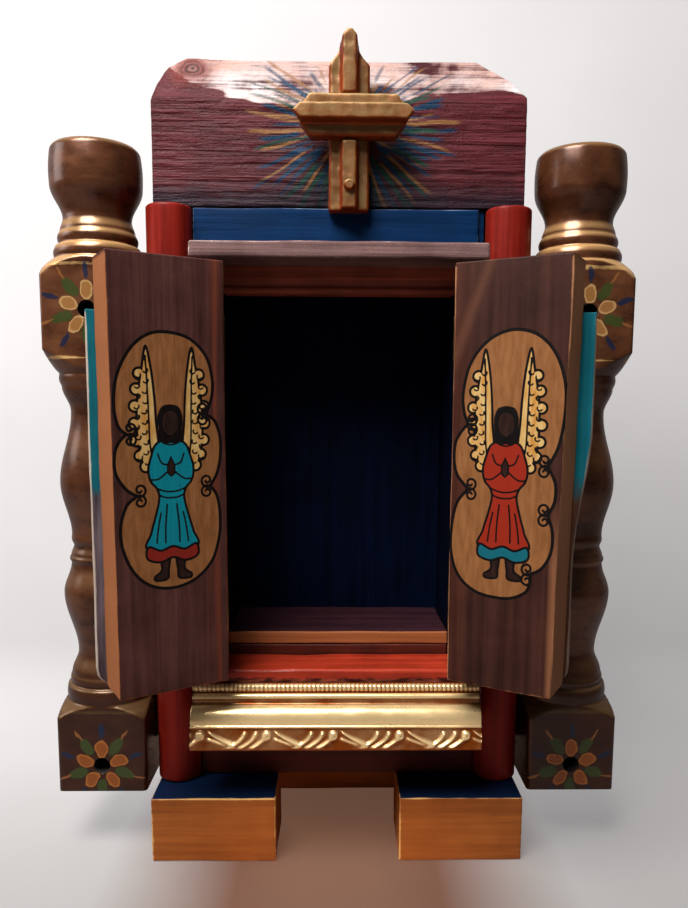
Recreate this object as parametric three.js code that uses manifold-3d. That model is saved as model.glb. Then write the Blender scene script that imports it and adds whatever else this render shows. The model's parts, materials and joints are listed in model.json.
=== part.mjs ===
// A small folding shrine box: a hollow niche with two thick hinged doors, standing on block feet
// between dowel columns and turned posts, with a header board and a cross above.
// Units are millimetres. +Z is up, the front faces -Y and the left is at -X.
// Depths (y) are taken from the front edge of the box; the finished group is shifted at the end so
// that its origin lies on the ground under the middle of the whole thing.

import * as THREE from 'three';
import { mergeVertices } from 'three/addons/utils/BufferGeometryUtils.js';
import Module from 'manifold-3d';

const wasm = await Module();
wasm.setup();

// ---- driving dimensions ---------------------------------------------------------------------

const GAP = 0.3; // clearance left between pieces that are glued or nailed together

const FOOT = { wide: 70.5, deep: 44, high: 38, inner: 35, front: -29.7 };
const REAR_FOOT = { half: 60, deep: 15.5 };

const BOARD = 16.2; // thickness of the planed boards
const NICHE = { half: 65, depth: 57.2, floor: 126.1, ceiling: 344.5 };
const BACK_THICK = 12.2;
const BOX_TOP = 367.2;
const FLOOR_THICK = 7.3;
const RAIL_THICK = 12;
const TOP_FRONT = { left: -81.2, right: 77.5, deep: 13 };

const LEDGE = { top: 113.2, bottom: 76, front: -29, half: 80.5 };
const MOULDING = { left: -80, right: 78, bottom: 73 };
const HEAD_RAIL_BOTTOM = 321;
const LINTEL = { bottom: 335.4, top: 344.5, front: -27, half: 79.5 };

const COLUMN = { x: 94.4, y: 1.4, radius: 12.7 };
const POST = { x: 136.1, y: 8.8, block: 50.8, bottom: 36, holeRadius: 4.75, holeDepth: 13 };
const LOWER_HOLE = 51.4;
const UPPER_HOLE = 309.8;

const HEADER = { half: 103, high: 81.5, thick: 22, front: 0 };
const CROSS = { x: 5, bottom: 364, tip: 455, wide: 22, ridge: 9 };

const DOOR = { thick: 25, bottom: 114.2, top: 329.8, edgeGap: 3, openDegrees: 150 };
const DOOR_WIDTH = { left: { bottom: 57.6, top: 58.4 }, right: { bottom: 55.2, top: 59 } };
const PANEL = { start: 16, thick: 3.5, bottom: 114.2, top: 305, corner: 7 };
const PANEL_EDGE = { left: 65, right: 67.6 }; // free edge, from the hinge axis
const PIVOT = { x: 67.2, y: -(DOOR.thick + 0.85) };
const STILE = { inner: PIVOT.x + DOOR.edgeGap, wide: 11 };
const HINGE = { barrel: 2.4, leaf: 1, tall: 24, deep: 19, segment: 7.8 };
const HINGE_HEIGHTS = { lower: 152, upper: 292 };

// ---- finishes -------------------------------------------------------------------------------

function finish(color, roughness, metalness = 0) {
  return new THREE.MeshStandardMaterial({ color, roughness, metalness });
}

const GOLD_PAINT = finish('#b98a3c', 0.45, 0.6);
const GOLD_LEAF = finish('#d8ad52', 0.3, 0.9);
const BRONZE_PAINT = finish('#5d3f22', 0.35, 0.5);
const NAVY_PAINT = finish('#10223f', 0.4);
const RED_PAINT = finish('#8c1f16', 0.45);
const MAROON_PAINT = finish('#4a1d24', 0.7);
const WALNUT = finish('#4a2c25', 0.6);
const BARE_WOOD = finish('#8a6f62', 0.8);
const TEAL_PAINT = finish('#1b7f86', 0.45);
const BRASS = finish('#9a7a3a', 0.4, 1);

// ---- ways of making a piece -----------------------------------------------------------------

// A board from its lowest to its highest corner.
function board(low, high) {
  const size = high.map((value, axis) => value - low[axis]);
  const geometry = new THREE.BoxGeometry(...size);
  return geometry.translate(...high.map((value, axis) => (value + low[axis]) / 2));
}

// An outline drawn in the front view (x, z), run through from the depth `front` to `back`.
function cutOut(outline, front, back) {
  const shape = new THREE.Shape(outline.map(([x, z]) => new THREE.Vector2(x, z)));
  const geometry = new THREE.ExtrudeGeometry(shape, { depth: back - front, bevelEnabled: false });
  return geometry.rotateX(Math.PI / 2).translate(0, back, 0);
}

// A section drawn in the side view (y, z), run along x from `left` to `right`.
function strip(section, left, right) {
  const shape = new THREE.Shape(section.map(([y, z]) => new THREE.Vector2(y, z)));
  const geometry = new THREE.ExtrudeGeometry(shape, { depth: right - left, bevelEnabled: false });
  const axes = [new THREE.Vector3(0, 1, 0), new THREE.Vector3(0, 0, 1), new THREE.Vector3(1, 0, 0)];
  return geometry.applyMatrix4(new THREE.Matrix4().makeBasis(...axes)).translate(left, 0, 0);
}

// A section drawn in plan (x, y), run upwards from `bottom` to `top`.
function upright(section, bottom, top) {
  const shape = new THREE.Shape(section.map(([x, y]) => new THREE.Vector2(x, y)));
  const geometry = new THREE.ExtrudeGeometry(shape, { depth: top - bottom, bevelEnabled: false });
  return geometry.translate(0, 0, bottom);
}

// A turned piece on the z axis: its profile is a list of [radius, height] points.
function turned(profile, sides) {
  const points = profile.map(([radius, height]) => new THREE.Vector2(radius, height));
  return new THREE.LatheGeometry(points, sides).rotateX(Math.PI / 2);
}

function solid(geometry) {
  const bare = geometry.clone();
  bare.deleteAttribute('normal');
  bare.deleteAttribute('uv');
  const merged = mergeVertices(bare, 1e-4);
  return new wasm.Manifold(new wasm.Mesh({
    numProp: 3,
    vertProperties: new Float32Array(merged.attributes.position.array),
    triVerts: new Uint32Array(merged.index.array),
  }));
}

function geometryOf(manifold) {
  const { vertProperties, triVerts } = manifold.getMesh();
  const geometry = new THREE.BufferGeometry();
  geometry.setAttribute('position', new THREE.BufferAttribute(vertProperties, 3));
  geometry.setIndex(new THREE.BufferAttribute(triVerts, 1));
  const flat = geometry.toNonIndexed();
  flat.computeVertexNormals();
  return flat;
}

const shrine = new THREE.Group();

function add(name, geometry, material, group = shrine) {
  const mesh = new THREE.Mesh(geometry, material);
  mesh.name = name;
  group.add(mesh);
  return mesh;
}

const SIDES = [['left', -1], ['right', 1]];

// ---- feet and base --------------------------------------------------------------------------

// Two blocks under the columns and one bar under the back edge carry the box.
for (const [side, sign] of SIDES) {
  const foot = board([0, 0, 0], [FOOT.wide, FOOT.deep, FOOT.high]);
  const left = sign < 0 ? -FOOT.inner - FOOT.wide : FOOT.inner;
  add(`foot_${side}`, foot, GOLD_PAINT).position.set(left, FOOT.front, 0);
}

const boxBack = NICHE.depth + GAP + BACK_THICK;
const outerHalf = NICHE.half + BOARD;
const baseTop = FOOT.high + GAP + BOARD;

add('rear_foot', board(
  [-REAR_FOOT.half, boxBack - REAR_FOOT.deep, 0],
  [REAR_FOOT.half, boxBack, FOOT.high],
), BRONZE_PAINT);

add('base_board', board(
  [-outerHalf, 0, FOOT.high + GAP],
  [outerHalf, boxBack, baseTop],
), MAROON_PAINT);

// ---- the hollow box -------------------------------------------------------------------------

const wallBottom = baseTop + GAP;
for (const [side, sign] of SIDES) {
  const wall = board([0, 0, wallBottom], [BOARD, NICHE.depth, NICHE.ceiling]);
  const left = sign < 0 ? -outerHalf : NICHE.half;
  add(`side_board_${side}`, wall, NAVY_PAINT).position.x = left;
}

add('back_board', board(
  [-outerHalf, NICHE.depth + GAP, wallBottom],
  [outerHalf, boxBack, BOX_TOP],
), NAVY_PAINT);

add('top_board', board(
  [-outerHalf, TOP_FRONT.deep + GAP, NICHE.ceiling + GAP],
  [outerHalf, NICHE.depth, BOX_TOP],
), NAVY_PAINT);

// The navy strip along the top edge is a little short, and an end piece makes up the length.
add('top_front_board', board(
  [TOP_FRONT.left, 0, NICHE.ceiling + GAP],
  [TOP_FRONT.right, TOP_FRONT.deep, BOX_TOP],
), NAVY_PAINT);

add('top_end_piece', board(
  [TOP_FRONT.right + GAP, 3, NICHE.ceiling + GAP],
  [-TOP_FRONT.left, TOP_FRONT.deep, BOX_TOP],
), NAVY_PAINT);

const railHalf = NICHE.half - GAP;
const floorBottom = NICHE.floor - FLOOR_THICK;

add('niche_floor', board(
  [-railHalf, 0, floorBottom],
  [railHalf, NICHE.depth, NICHE.floor],
), MAROON_PAINT);

add('lower_front_board', board(
  [-railHalf, 0, wallBottom],
  [railHalf, RAIL_THICK, floorBottom - GAP],
), MAROON_PAINT);

// The rail over the opening: a flat band, a lower band set back, and a half-round bead.
const beadRadius = 2;
const beadCentre = HEAD_RAIL_BOTTOM + beadRadius;
const bead = Array.from({ length: 7 }, (unused, step) => {
  const angle = Math.PI / 2 + (Math.PI * step) / 6;
  return [2 + beadRadius * Math.cos(angle), beadCentre + beadRadius * Math.sin(angle)];
});
add('head_rail', strip([
  [0, NICHE.ceiling],
  [0, HEAD_RAIL_BOTTOM + 9],
  [1.5, HEAD_RAIL_BOTTOM + 8],
  ...bead,
  [RAIL_THICK, HEAD_RAIL_BOTTOM],
  [RAIL_THICK, NICHE.ceiling],
], -railHalf, railHalf), MAROON_PAINT);

// ---- strips on the front of the box ---------------------------------------------------------

// A thin cap strip over the doors, its front edges eased.
const ease = 1.6;
add('lintel_strip', strip([
  [-GAP, LINTEL.bottom],
  [-GAP, LINTEL.top],
  [LINTEL.front + ease, LINTEL.top],
  [LINTEL.front + ease * 0.3, LINTEL.top - ease * 0.3],
  [LINTEL.front, LINTEL.top - ease],
  [LINTEL.front, LINTEL.bottom + ease],
  [LINTEL.front + ease * 0.3, LINTEL.bottom + ease * 0.3],
  [LINTEL.front + ease, LINTEL.bottom],
], -LINTEL.half, LINTEL.half), BARE_WOOD);

// The ledge under the doors, worn round at its front edge.
const worn = 3;
add('front_rail', strip([
  [-GAP, LEDGE.bottom],
  [-GAP, LEDGE.top],
  [LEDGE.front + worn, LEDGE.top],
  [LEDGE.front + worn * 0.3, LEDGE.top - worn * 0.3],
  [LEDGE.front, LEDGE.top - worn],
  [LEDGE.front, LEDGE.bottom],
], -LEDGE.half, LEDGE.half), RED_PAINT);

// Stiles beside the opening carry the hinges.
for (const [side, sign] of SIDES) {
  const stile = board(
    [0, PIVOT.y + GAP + 0.05, LEDGE.top + GAP],
    [STILE.wide, -GAP, LINTEL.bottom - GAP],
  );
  const left = sign < 0 ? -STILE.inner - STILE.wide : STILE.inner;
  add(`stile_${side}`, stile, NAVY_PAINT).position.x = left;
}

// ---- the gilded frame moulding ----------------------------------------------------------------

// From the top down its face leans out: a bead, a cove, a broad round band and a band of leaves.
const mouldingBack = LEDGE.front - GAP;
const LEAF = { top: 85, bottom: MOULDING.bottom + 1, rows: 5, lift: 1.6, pitch: 36 };

function mouldingFace() {
  const face = [[-31, 106]];
  for (let step = 0; step <= 3; step += 1) {
    const angle = (Math.PI * step) / 3;
    face.push([-32 - 1.9 * Math.sin(angle), 103.6 + 2.1 * Math.cos(angle)]);
  }
  for (let step = 0; step <= 3; step += 1) {
    const angle = (Math.PI / 2) * (step / 3);
    face.push([-35 + 1.2 * Math.cos(angle), 100.6 - 2.4 * Math.sin(angle)]);
  }
  for (let step = 1; step <= 5; step += 1) {
    const part = step / 5;
    face.push([-35 - 7.4 * Math.sin((Math.PI / 2) * part), 98 - 12 * (1 - Math.cos((Math.PI / 2) * part))]);
  }
  face.push([-43.4, 85.8]);
  return face;
}

// Leaves that curl along the lower band, one every pitch: a slanting blade and a round curl.
function leafLift(x, down) {
  const along = x / LEAF.pitch - Math.floor(x / LEAF.pitch);
  const blade = Math.exp(-(((along - 0.15 - 0.4 * down) / 0.09) ** 2));
  const curl = Math.exp(-(((along - 0.75) / 0.12) ** 2) - ((down - 0.45) / 0.3) ** 2);
  return LEAF.lift * Math.max(blade, curl) * Math.sin(Math.PI * Math.min(1, down * 0.9 + 0.1));
}

function mouldingGeometry() {
  const face = mouldingFace();
  const columns = 44;
  const positions = [];
  const rings = [];
  for (let column = 0; column <= columns; column += 1) {
    const x = MOULDING.left + ((MOULDING.right - MOULDING.left) * column) / columns;
    const section = [[mouldingBack, MOULDING.bottom], [mouldingBack, 106], ...face];
    for (let row = 0; row <= LEAF.rows; row += 1) {
      const down = row / LEAF.rows;
      const z = LEAF.top + (LEAF.bottom - LEAF.top) * down;
      section.push([-43.4 - 2 * down - leafLift(x, down), z]);
    }
    section.push([-44, MOULDING.bottom]);
    rings.push(section);
    section.forEach(([y, z]) => positions.push(x, y, z));
  }
  const around = rings[0].length;
  const faces = [];
  for (let column = 0; column < columns; column += 1) {
    for (let point = 0; point < around; point += 1) {
      const next = (point + 1) % around;
      const here = column * around;
      const there = here + around;
      faces.push(here + point, here + next, there + next, here + point, there + next, there + point);
    }
  }
  const cap = (section) => THREE.ShapeUtils.triangulateShape(
    section.map(([y, z]) => new THREE.Vector2(y, z)),
    [],
  );
  const last = columns * around;
  cap(rings[0]).forEach(([a, b, c]) => faces.push(a, c, b));
  cap(rings[columns]).forEach(([a, b, c]) => faces.push(last + a, last + b, last + c));
  const geometry = new THREE.BufferGeometry();
  geometry.setAttribute('position', new THREE.Float32BufferAttribute(positions, 3));
  geometry.setIndex(faces);
  return geometry;
}

add('gold_moulding', mouldingGeometry(), GOLD_LEAF);

// ---- columns and the spacers beside the box ---------------------------------------------------

for (const [side, sign] of SIDES) {
  const low = FOOT.high + GAP;
  const column = new THREE.CylinderGeometry(COLUMN.radius, COLUMN.radius, BOX_TOP - low, 28);
  column.rotateX(Math.PI / 2);
  add(`column_${side}`, column, RED_PAINT).position.set(sign * COLUMN.x, COLUMN.y, (BOX_TOP + low) / 2);

  const spacerFront = COLUMN.y + COLUMN.radius + 2 * GAP;
  const wide = POST.x - POST.block / 2 - outerHalf - 2 * GAP;
  const spacer = board([0, spacerFront, wallBottom], [wide, NICHE.depth, BOX_TOP]);
  add(`side_spacer_${side}`, spacer, GOLD_PAINT).position.x = sign < 0 ? -outerHalf - GAP - wide : outerHalf + GAP;
}

// ---- turned posts -------------------------------------------------------------------------------

// Square stock, turned between its two blocks. Each entry takes the turning from where it is up to
// [height, radius]; `bulge` swells a straight stretch, and a stretch with no bulge eases in and out.
const CORNER = (POST.block / 2) * Math.SQRT2 + 1;
const POST_TURNING = [
  { to: [76, CORNER], steps: 1, bulge: 0 },
  { to: [87, 25.2], steps: 3, bulge: 1.6 },
  { to: [95, 24.8], steps: 2, bulge: 0.5 },
  { to: [96, 22.8], steps: 1, bulge: 0 },
  { to: [102, 22.4], steps: 2, bulge: 0.8 },
  { to: [115, 18.4], steps: 3 },
  { to: [150, 25.2], steps: 4 },
  { to: [168, 20.6], steps: 3 },
  { to: [172, 20.6], steps: 2, bulge: 0.9 },
  { to: [178, 18.9], steps: 1 },
  { to: [184, 19.8], steps: 2, bulge: 0.7 },
  { to: [214, 25.2], steps: 4 },
  { to: [255, 18], steps: 4 },
  { to: [269, 22.4], steps: 3 },
  { to: [276, 23.4], steps: 2, bulge: 0.8 },
  { to: [278, 25.2], steps: 1, bulge: 0 },
  { to: [290, CORNER], steps: 2, bulge: -1 },
  { to: [323, CORNER], steps: 1, bulge: 0 },
  { to: [338, 25.2], steps: 4, bulge: 2 },
  { to: [339, 23.6], steps: 1, bulge: 0 },
  { to: [346, 22.8], steps: 2, bulge: 1 },
  { to: [347, 21], steps: 1, bulge: 0 },
  { to: [354, 20.4], steps: 2, bulge: 1.2 },
  { to: [361, 18.6], steps: 1 },
  { to: [379, 25], steps: 4 },
  { to: [395, 24.2], steps: 3, bulge: 0.6 },
  { to: [399.5, 21.5], steps: 2, bulge: 0.6 },
];

function turnedProfile(stages, bottom) {
  let [height, radius] = [bottom, stages[0].to[1]];
  const profile = [[0, height], [radius, height]];
  for (const { to: [nextHeight, nextRadius], steps, bulge } of stages) {
    for (let step = 1; step <= steps; step += 1) {
      const part = step / steps;
      const eased = bulge === undefined ? (1 - Math.cos(Math.PI * part)) / 2 : part;
      const swell = (bulge ?? 0) * Math.sin(Math.PI * part);
      profile.push([radius + (nextRadius - radius) * eased + swell, height + (nextHeight - height) * part]);
    }
    [height, radius] = [nextHeight, nextRadius];
  }
  profile.push([0, height]);
  return profile;
}

function postGeometry() {
  const profile = turnedProfile(POST_TURNING, POST.bottom);
  const top = profile.at(-1)[1];
  const half = POST.block / 2;
  const round = solid(turned(profile, 20));
  const stock = solid(board([-half, -half, POST.bottom - 1], [half, half, top + 1]));
  let post = round.intersect(stock);
  for (const height of [LOWER_HOLE, UPPER_HOLE]) {
    const drill = new THREE.CylinderGeometry(POST.holeRadius, POST.holeRadius, 2 * POST.holeDepth, 16);
    drill.translate(0, -half, 0).translate(0, 0, height);
    post = post.subtract(solid(drill));
  }
  return geometryOf(post);
}

for (const [side, sign] of SIDES) {
  add(`post_${side}`, postGeometry(), BRONZE_PAINT).position.set(sign * POST.x, POST.y, 0);
}

// ---- header board -------------------------------------------------------------------------------

// A rough board on edge, its top corners sawn off, with the slant of the log along its upper front.
const headerBottom = BOX_TOP + GAP;
const headerTop = headerBottom + HEADER.high;

function headerGeometry() {
  const { half, thick, front } = HEADER;
  const outline = [
    [-half + 1, headerBottom],
    [half - 1, headerBottom],
    [half, headerTop - 22],
    [half - 9, headerTop - 12],
    [half - 27, headerTop],
    [-half + 18, headerTop],
    [-half + 8, headerTop - 6],
    [-half + 3, headerTop - 16],
    [-half, headerTop - 26],
  ];
  const face = solid(cutOut(outline, front, front + thick));
  const slant = solid(strip([
    [front, headerBottom - 1],
    [front + thick + 1, headerBottom - 1],
    [front + thick + 1, headerTop + 1],
    [front + 11, headerTop + 1],
    [front, headerTop - 25],
  ], -half - 1, half + 1));
  return geometryOf(face.intersect(slant));
}

add('header_board', headerGeometry(), MAROON_PAINT);

// ---- cross ----------------------------------------------------------------------------------------

// Two lengths of ridged strip: the upright is nailed to the header, and the arm lies across it.
const crossBack = HEADER.front - GAP;
const strapThick = 8;
const ridgeThick = 6.2;
const ARM = { centre: 411, x: 7, half: 32, baseHalf: 28 };

function ridged(halfWide, halfRidge, back) {
  return [
    [-halfWide, back],
    [-halfWide, back - strapThick + 1],
    [-halfWide + 1, back - strapThick],
    [-halfRidge, back - strapThick],
    [-halfRidge + 0.6, back - strapThick - ridgeThick],
    [halfRidge - 0.6, back - strapThick - ridgeThick],
    [halfRidge, back - strapThick],
    [halfWide - 1, back - strapThick],
    [halfWide, back - strapThick + 1],
    [halfWide, back],
  ];
}

function uprightGeometry() {
  const half = CROSS.wide / 2;
  const shaft = solid(upright(ridged(half, CROSS.ridge / 2, crossBack), CROSS.bottom, CROSS.tip));
  const outline = [
    [-half - 1, CROSS.bottom - 1],
    [half + 1, CROSS.bottom - 1],
    [half + 1, CROSS.tip - 17],
    [half - 2, CROSS.tip - 14],
    [half - 6, CROSS.tip - 9],
    [half - 6.5, CROSS.tip - 4],
    [1.5, CROSS.tip],
    [-1.5, CROSS.tip],
    [-half + 6, CROSS.tip - 5],
    [-half + 5.5, CROSS.tip - 9],
    [-half + 2, CROSS.tip - 13],
    [-half - 1, CROSS.tip - 19],
  ];
  const point = solid(cutOut(outline, crossBack - 40, crossBack + 1));
  const armHalf = CROSS.wide / 2 + 1;
  const lap = solid(board(
    [-half - 1, crossBack - 40, ARM.centre - armHalf],
    [half + 1, crossBack - strapThick, ARM.centre + armHalf],
  ));
  return geometryOf(shaft.intersect(point).subtract(lap));
}

function armGeometry() {
  const half = CROSS.wide / 2;
  const back = crossBack - strapThick - GAP;
  const section = ridged(half, CROSS.ridge / 2, back).map(([across, depth]) => [depth, across]);
  const length = solid(strip(section, -ARM.half, ARM.half));
  const hips = solid(upright([
    [-ARM.baseHalf, back + 1],
    [-ARM.baseHalf - 1, back - strapThick],
    [-ARM.half - 1, back - strapThick - ridgeThick - 1],
    [ARM.half + 1, back - strapThick - ridgeThick - 1],
    [ARM.baseHalf + 1, back - strapThick],
    [ARM.baseHalf, back + 1],
  ], -half - 1, half + 1));
  const ends = solid(cutOut([
    [-ARM.half, 0],
    [-ARM.half + 4, -4],
    [-ARM.baseHalf + 6, -half - 1],
    [ARM.baseHalf - 6, -half - 1],
    [ARM.half - 4, -4],
    [ARM.half, 0],
    [ARM.half - 4, 4],
    [ARM.baseHalf - 6, half + 1],
    [-ARM.baseHalf + 6, half + 1],
    [-ARM.half + 4, 4],
  ], back - 30, back + 1));
  return geometryOf(length.intersect(hips).intersect(ends));
}

add('cross_upright', uprightGeometry(), GOLD_PAINT).position.x = CROSS.x;
add('cross_arm', armGeometry(), GOLD_PAINT).position.set(ARM.x, 0, ARM.centre);

const button = new THREE.CylinderGeometry(3.2, 2.4, 2.2, 16);
add('cross_button', button, GOLD_PAINT)
  .position.set(CROSS.x, crossBack - strapThick - ridgeThick - GAP - 1.1, 375.6);

// ---- doors ------------------------------------------------------------------------------------------

// Each door is a hand-sawn plank, not quite square, with a thin panel on its outer face. It is drawn
// shut, with its hinge axis as origin and its length towards the middle, then swung open.
// A hinge has three barrel segments on the axis: the outer two belong to the door's leaf.
function hingeLeaf(segments, side) {
  const { barrel, leaf, tall, deep, segment } = HINGE;
  const plateIn = Math.min(side * (barrel - 0.7), side * (barrel - 0.7 + leaf));
  let piece = solid(board([plateIn, barrel + GAP, -tall / 2], [plateIn + leaf, barrel + GAP + deep, tall / 2]));
  for (const height of segments) {
    const knuckle = new THREE.CylinderGeometry(barrel, barrel, segment, 12);
    knuckle.rotateX(Math.PI / 2).translate(0, 0, height);
    const tongue = board(
      [plateIn, 0, height - segment / 2],
      [plateIn + leaf, barrel + GAP + 1, height + segment / 2],
    );
    piece = piece.add(solid(knuckle)).add(solid(tongue));
  }
  return geometryOf(piece);
}

function panelOutline(low, high) {
  const { bottom, top, corner } = PANEL;
  return [
    [low, bottom],
    [high - corner, bottom],
    [high - corner * 0.3, bottom + corner * 0.3],
    [high, bottom + corner],
    [high, top],
    [low, top],
  ];
}

for (const [side, sign] of SIDES) {
  const hand = -sign; // +1 where the shut door runs towards +x
  const flip = (outline) => (hand > 0 ? outline : outline.map(([x, z]) => [-x, z]).reverse());
  const door = new THREE.Group();
  door.position.set(sign * PIVOT.x, PIVOT.y, 0);
  door.rotation.z = sign * THREE.MathUtils.degToRad(DOOR.openDegrees);
  shrine.add(door);

  const freeBottom = DOOR.edgeGap + DOOR_WIDTH[side].bottom;
  const freeTop = DOOR.edgeGap + DOOR_WIDTH[side].top;
  const plank = cutOut(flip([
    [DOOR.edgeGap, DOOR.bottom],
    [freeBottom, DOOR.bottom],
    [freeTop, DOOR.top],
    [DOOR.edgeGap, DOOR.top],
  ]), 0, DOOR.thick);
  add(`door_plank_${side}`, plank, WALNUT, door);

  const panel = cutOut(flip(panelOutline(PANEL.start, PANEL_EDGE[side])), -GAP - PANEL.thick, -GAP);
  add(`door_panel_${side}`, panel, TEAL_PAINT, door);

  const outer = HINGE.segment + GAP;
  for (const [level, height] of Object.entries(HINGE_HEIGHTS)) {
    const doorLeaf = hingeLeaf([-outer, outer], hand);
    add(`hinge_door_leaf_${side}_${level}`, doorLeaf, BRASS, door).position.z = height;
    const frameLeaf = hingeLeaf([0], sign);
    add(`hinge_frame_leaf_${side}_${level}`, frameLeaf, BRASS)
      .position.set(sign * PIVOT.x, PIVOT.y, height);
  }
}

// ---- origin -------------------------------------------------------------------------------------------

const whole = new THREE.Box3().setFromObject(shrine, true);
shrine.position.y = -(whole.min.y + whole.max.y) / 2;

export default shrine;
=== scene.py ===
import json

import bmesh
import bpy
import numpy as np
from mathutils import Matrix, Vector


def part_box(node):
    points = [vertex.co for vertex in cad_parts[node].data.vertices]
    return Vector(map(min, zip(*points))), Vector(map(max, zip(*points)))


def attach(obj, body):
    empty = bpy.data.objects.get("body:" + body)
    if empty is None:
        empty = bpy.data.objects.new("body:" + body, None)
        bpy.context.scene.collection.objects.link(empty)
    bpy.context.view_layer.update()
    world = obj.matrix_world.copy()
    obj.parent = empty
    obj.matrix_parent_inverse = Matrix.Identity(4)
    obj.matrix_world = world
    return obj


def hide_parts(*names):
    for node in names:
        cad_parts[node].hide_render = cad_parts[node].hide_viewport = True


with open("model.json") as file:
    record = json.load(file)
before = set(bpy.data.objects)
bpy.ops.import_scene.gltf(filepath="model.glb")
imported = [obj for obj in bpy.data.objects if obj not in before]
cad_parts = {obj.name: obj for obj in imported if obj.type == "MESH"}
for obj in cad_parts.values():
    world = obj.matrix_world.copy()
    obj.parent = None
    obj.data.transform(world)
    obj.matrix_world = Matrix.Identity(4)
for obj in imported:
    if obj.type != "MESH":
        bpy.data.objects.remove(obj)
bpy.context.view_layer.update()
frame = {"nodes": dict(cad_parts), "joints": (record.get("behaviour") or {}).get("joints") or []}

# ---- feet, rear bar and base board -----------------------------------------------------------
# Two blocks of sawn softwood with navy tops and gilded fronts, a bar under the back edge, and the
# board that the box stands on. All are planed timber with the corners knocked off, brush painted.

MM = 0.001
REST = -4.4003190731843915  # the depth that the driving sizes count from, in millimetres


def ripple(points, size, seed, waves=26):
    """Smooth random relief from about -1 to 1: the sum of sine waves that run in random directions,
    each between one and three times `size` from crest to crest."""
    rng = np.random.default_rng(seed)
    way = rng.normal(size=(waves, 3))
    way *= (2 * np.pi / (size * rng.uniform(1, 3, waves)) / np.linalg.norm(way, axis=1))[:, None]
    return np.sin(points @ way.T + rng.uniform(0, 2 * np.pi, waves)).sum(-1) / np.sqrt(waves)


def stops(length, radius, step):
    """Places along an edge: four on the rounding at either end, three close behind it unless the
    steps are fine anyway, and even steps of about `step` between."""
    near = np.append(np.array([0, 0.3, 0.7, 1]) * radius, radius + np.array([0.8, 2, 4.5]))
    near = near[:4] if step < 1 else near
    near = near[near < length / 2 - 0.3]
    inner = length - 2 * near[-1]
    middle = near[-1] + inner * np.linspace(0, 1, max(2, round(inner / step) + 1))[1:-1]
    return np.concatenate([near, middle, (length - near)[::-1]])


def smooth_step(value, low, high):
    """0 below low, 1 above high, and an S-shaped rise between."""
    part = np.clip((value - low) / (high - low), 0, 1)
    return part * part * (3 - 2 * part)


def in_scene(name, data):
    """A new object in the scene."""
    made = bpy.data.objects.new(name, data)
    bpy.context.scene.collection.objects.link(made)
    return made


def skin(name, rings, attributes=()):
    """A closed skin over rings of points (rings, around, 3) in millimetres. The first and last ring
    have shrunk to a point or a sliver. Attributes are (name, type, values) for each point."""
    count, around = rings.shape[:2]
    index = np.arange(count * around).reshape(count, around)
    low, high = index[:-1], index[1:]
    quads = np.stack([low, np.roll(low, -1, 1), np.roll(high, -1, 1), high], -1).reshape(-1, 4)
    mesh = bpy.data.meshes.new(name)
    mesh.from_pydata(rings.reshape(-1, 3) * MM, [], quads.tolist())
    for label, kind, values in attributes:
        field = "vector" if kind == "FLOAT_VECTOR" else "value"
        layer = mesh.attributes.new(label, kind, "POINT")
        layer.data.foreach_set(field, np.asarray(values, np.float32).ravel())
    shape = bmesh.new()
    shape.from_mesh(mesh)
    bmesh.ops.remove_doubles(shape, verts=shape.verts, dist=2e-6)
    bmesh.ops.dissolve_degenerate(shape, edges=shape.edges, dist=1e-7)
    bmesh.ops.holes_fill(shape, edges=[edge for edge in shape.edges if edge.is_boundary], sides=0)
    bmesh.ops.recalc_face_normals(shape, faces=shape.faces)
    for face in shape.faces:
        face.smooth = True
    shape.to_mesh(mesh)
    shape.free()
    return in_scene(name, mesh)


def board_rings(low, high, run, radius, steps, fine=None):
    """The surface of a board as rings stacked along the axis `run`: a sharp box whose points are
    pulled on to a ball of `radius` that rolls inside it. `fine` is a closer step for the face at
    the high end of the second cross axis. Returns the points and their outward way."""
    low, high = np.array(low, float), np.array(high, float)
    a, b = (axis for axis in range(3) if axis != run)
    size = high - low
    along_a, along_b, along = (stops(size[axis], radius, steps[axis]) for axis in (a, b, run))
    back_a = stops(size[a], radius, fine or steps[a])[::-1]
    ring_a = np.concatenate([along_a[:-1], np.full(len(along_b) - 1, size[a]),
                             back_a[:-1], np.zeros(len(along_b) - 1)])
    ring_b = np.concatenate([np.zeros(len(along_a) - 1), along_b[:-1],
                             np.full(len(back_a) - 1, size[b]), along_b[::-1][:-1]])
    half = min(size[a], size[b]) / 2 - 0.2
    insets = stops(2 * half, radius, max(steps[a], steps[b]))
    insets = np.append(insets[(insets > 0) & (insets < half)], half)
    inset = np.concatenate([insets[::-1], np.zeros(len(along)), insets])[:, None]
    place = np.concatenate([np.zeros(len(insets)), along, np.full(len(insets), size[run])])
    sharp = np.empty((len(place), len(ring_a), 3))
    sharp[..., a] = low[a] + np.clip(ring_a, inset, size[a] - inset)
    sharp[..., b] = low[b] + np.clip(ring_b, inset, size[b] - inset)
    sharp[..., run] = low[run] + place[:, None]
    core = np.clip(sharp, low + radius, high - radius)
    out = sharp - core
    out /= np.linalg.norm(out, axis=-1, keepdims=True)
    return core + radius * out, out


def edge_wear(points, low, high, reach=1.6):
    """1 on the edges of a box and falling away within `reach`: the second of a point's three
    distances from the box's faces is its distance from the nearest edge."""
    gaps = np.sort(np.minimum(points - np.array(low), np.array(high) - points), -1)
    return np.exp(-np.clip(gaps[..., 1], 0, None) / reach)


def board(name, low, high, run, radius=0.9, step=7.0, rough=0.12, seed=1):
    """A straight board with rounded, slightly wandering edges and faces."""
    rings, out = board_rings(low, high, run, radius, (step,) * 3)
    wear = edge_wear(rings, low, high)
    rings -= out * (rough * np.clip(1 + ripple(rings, 18, seed), 0, None) * (0.5 + wear))[..., None]
    return skin(name, rings, [("wear", "FLOAT", wear)])


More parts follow.
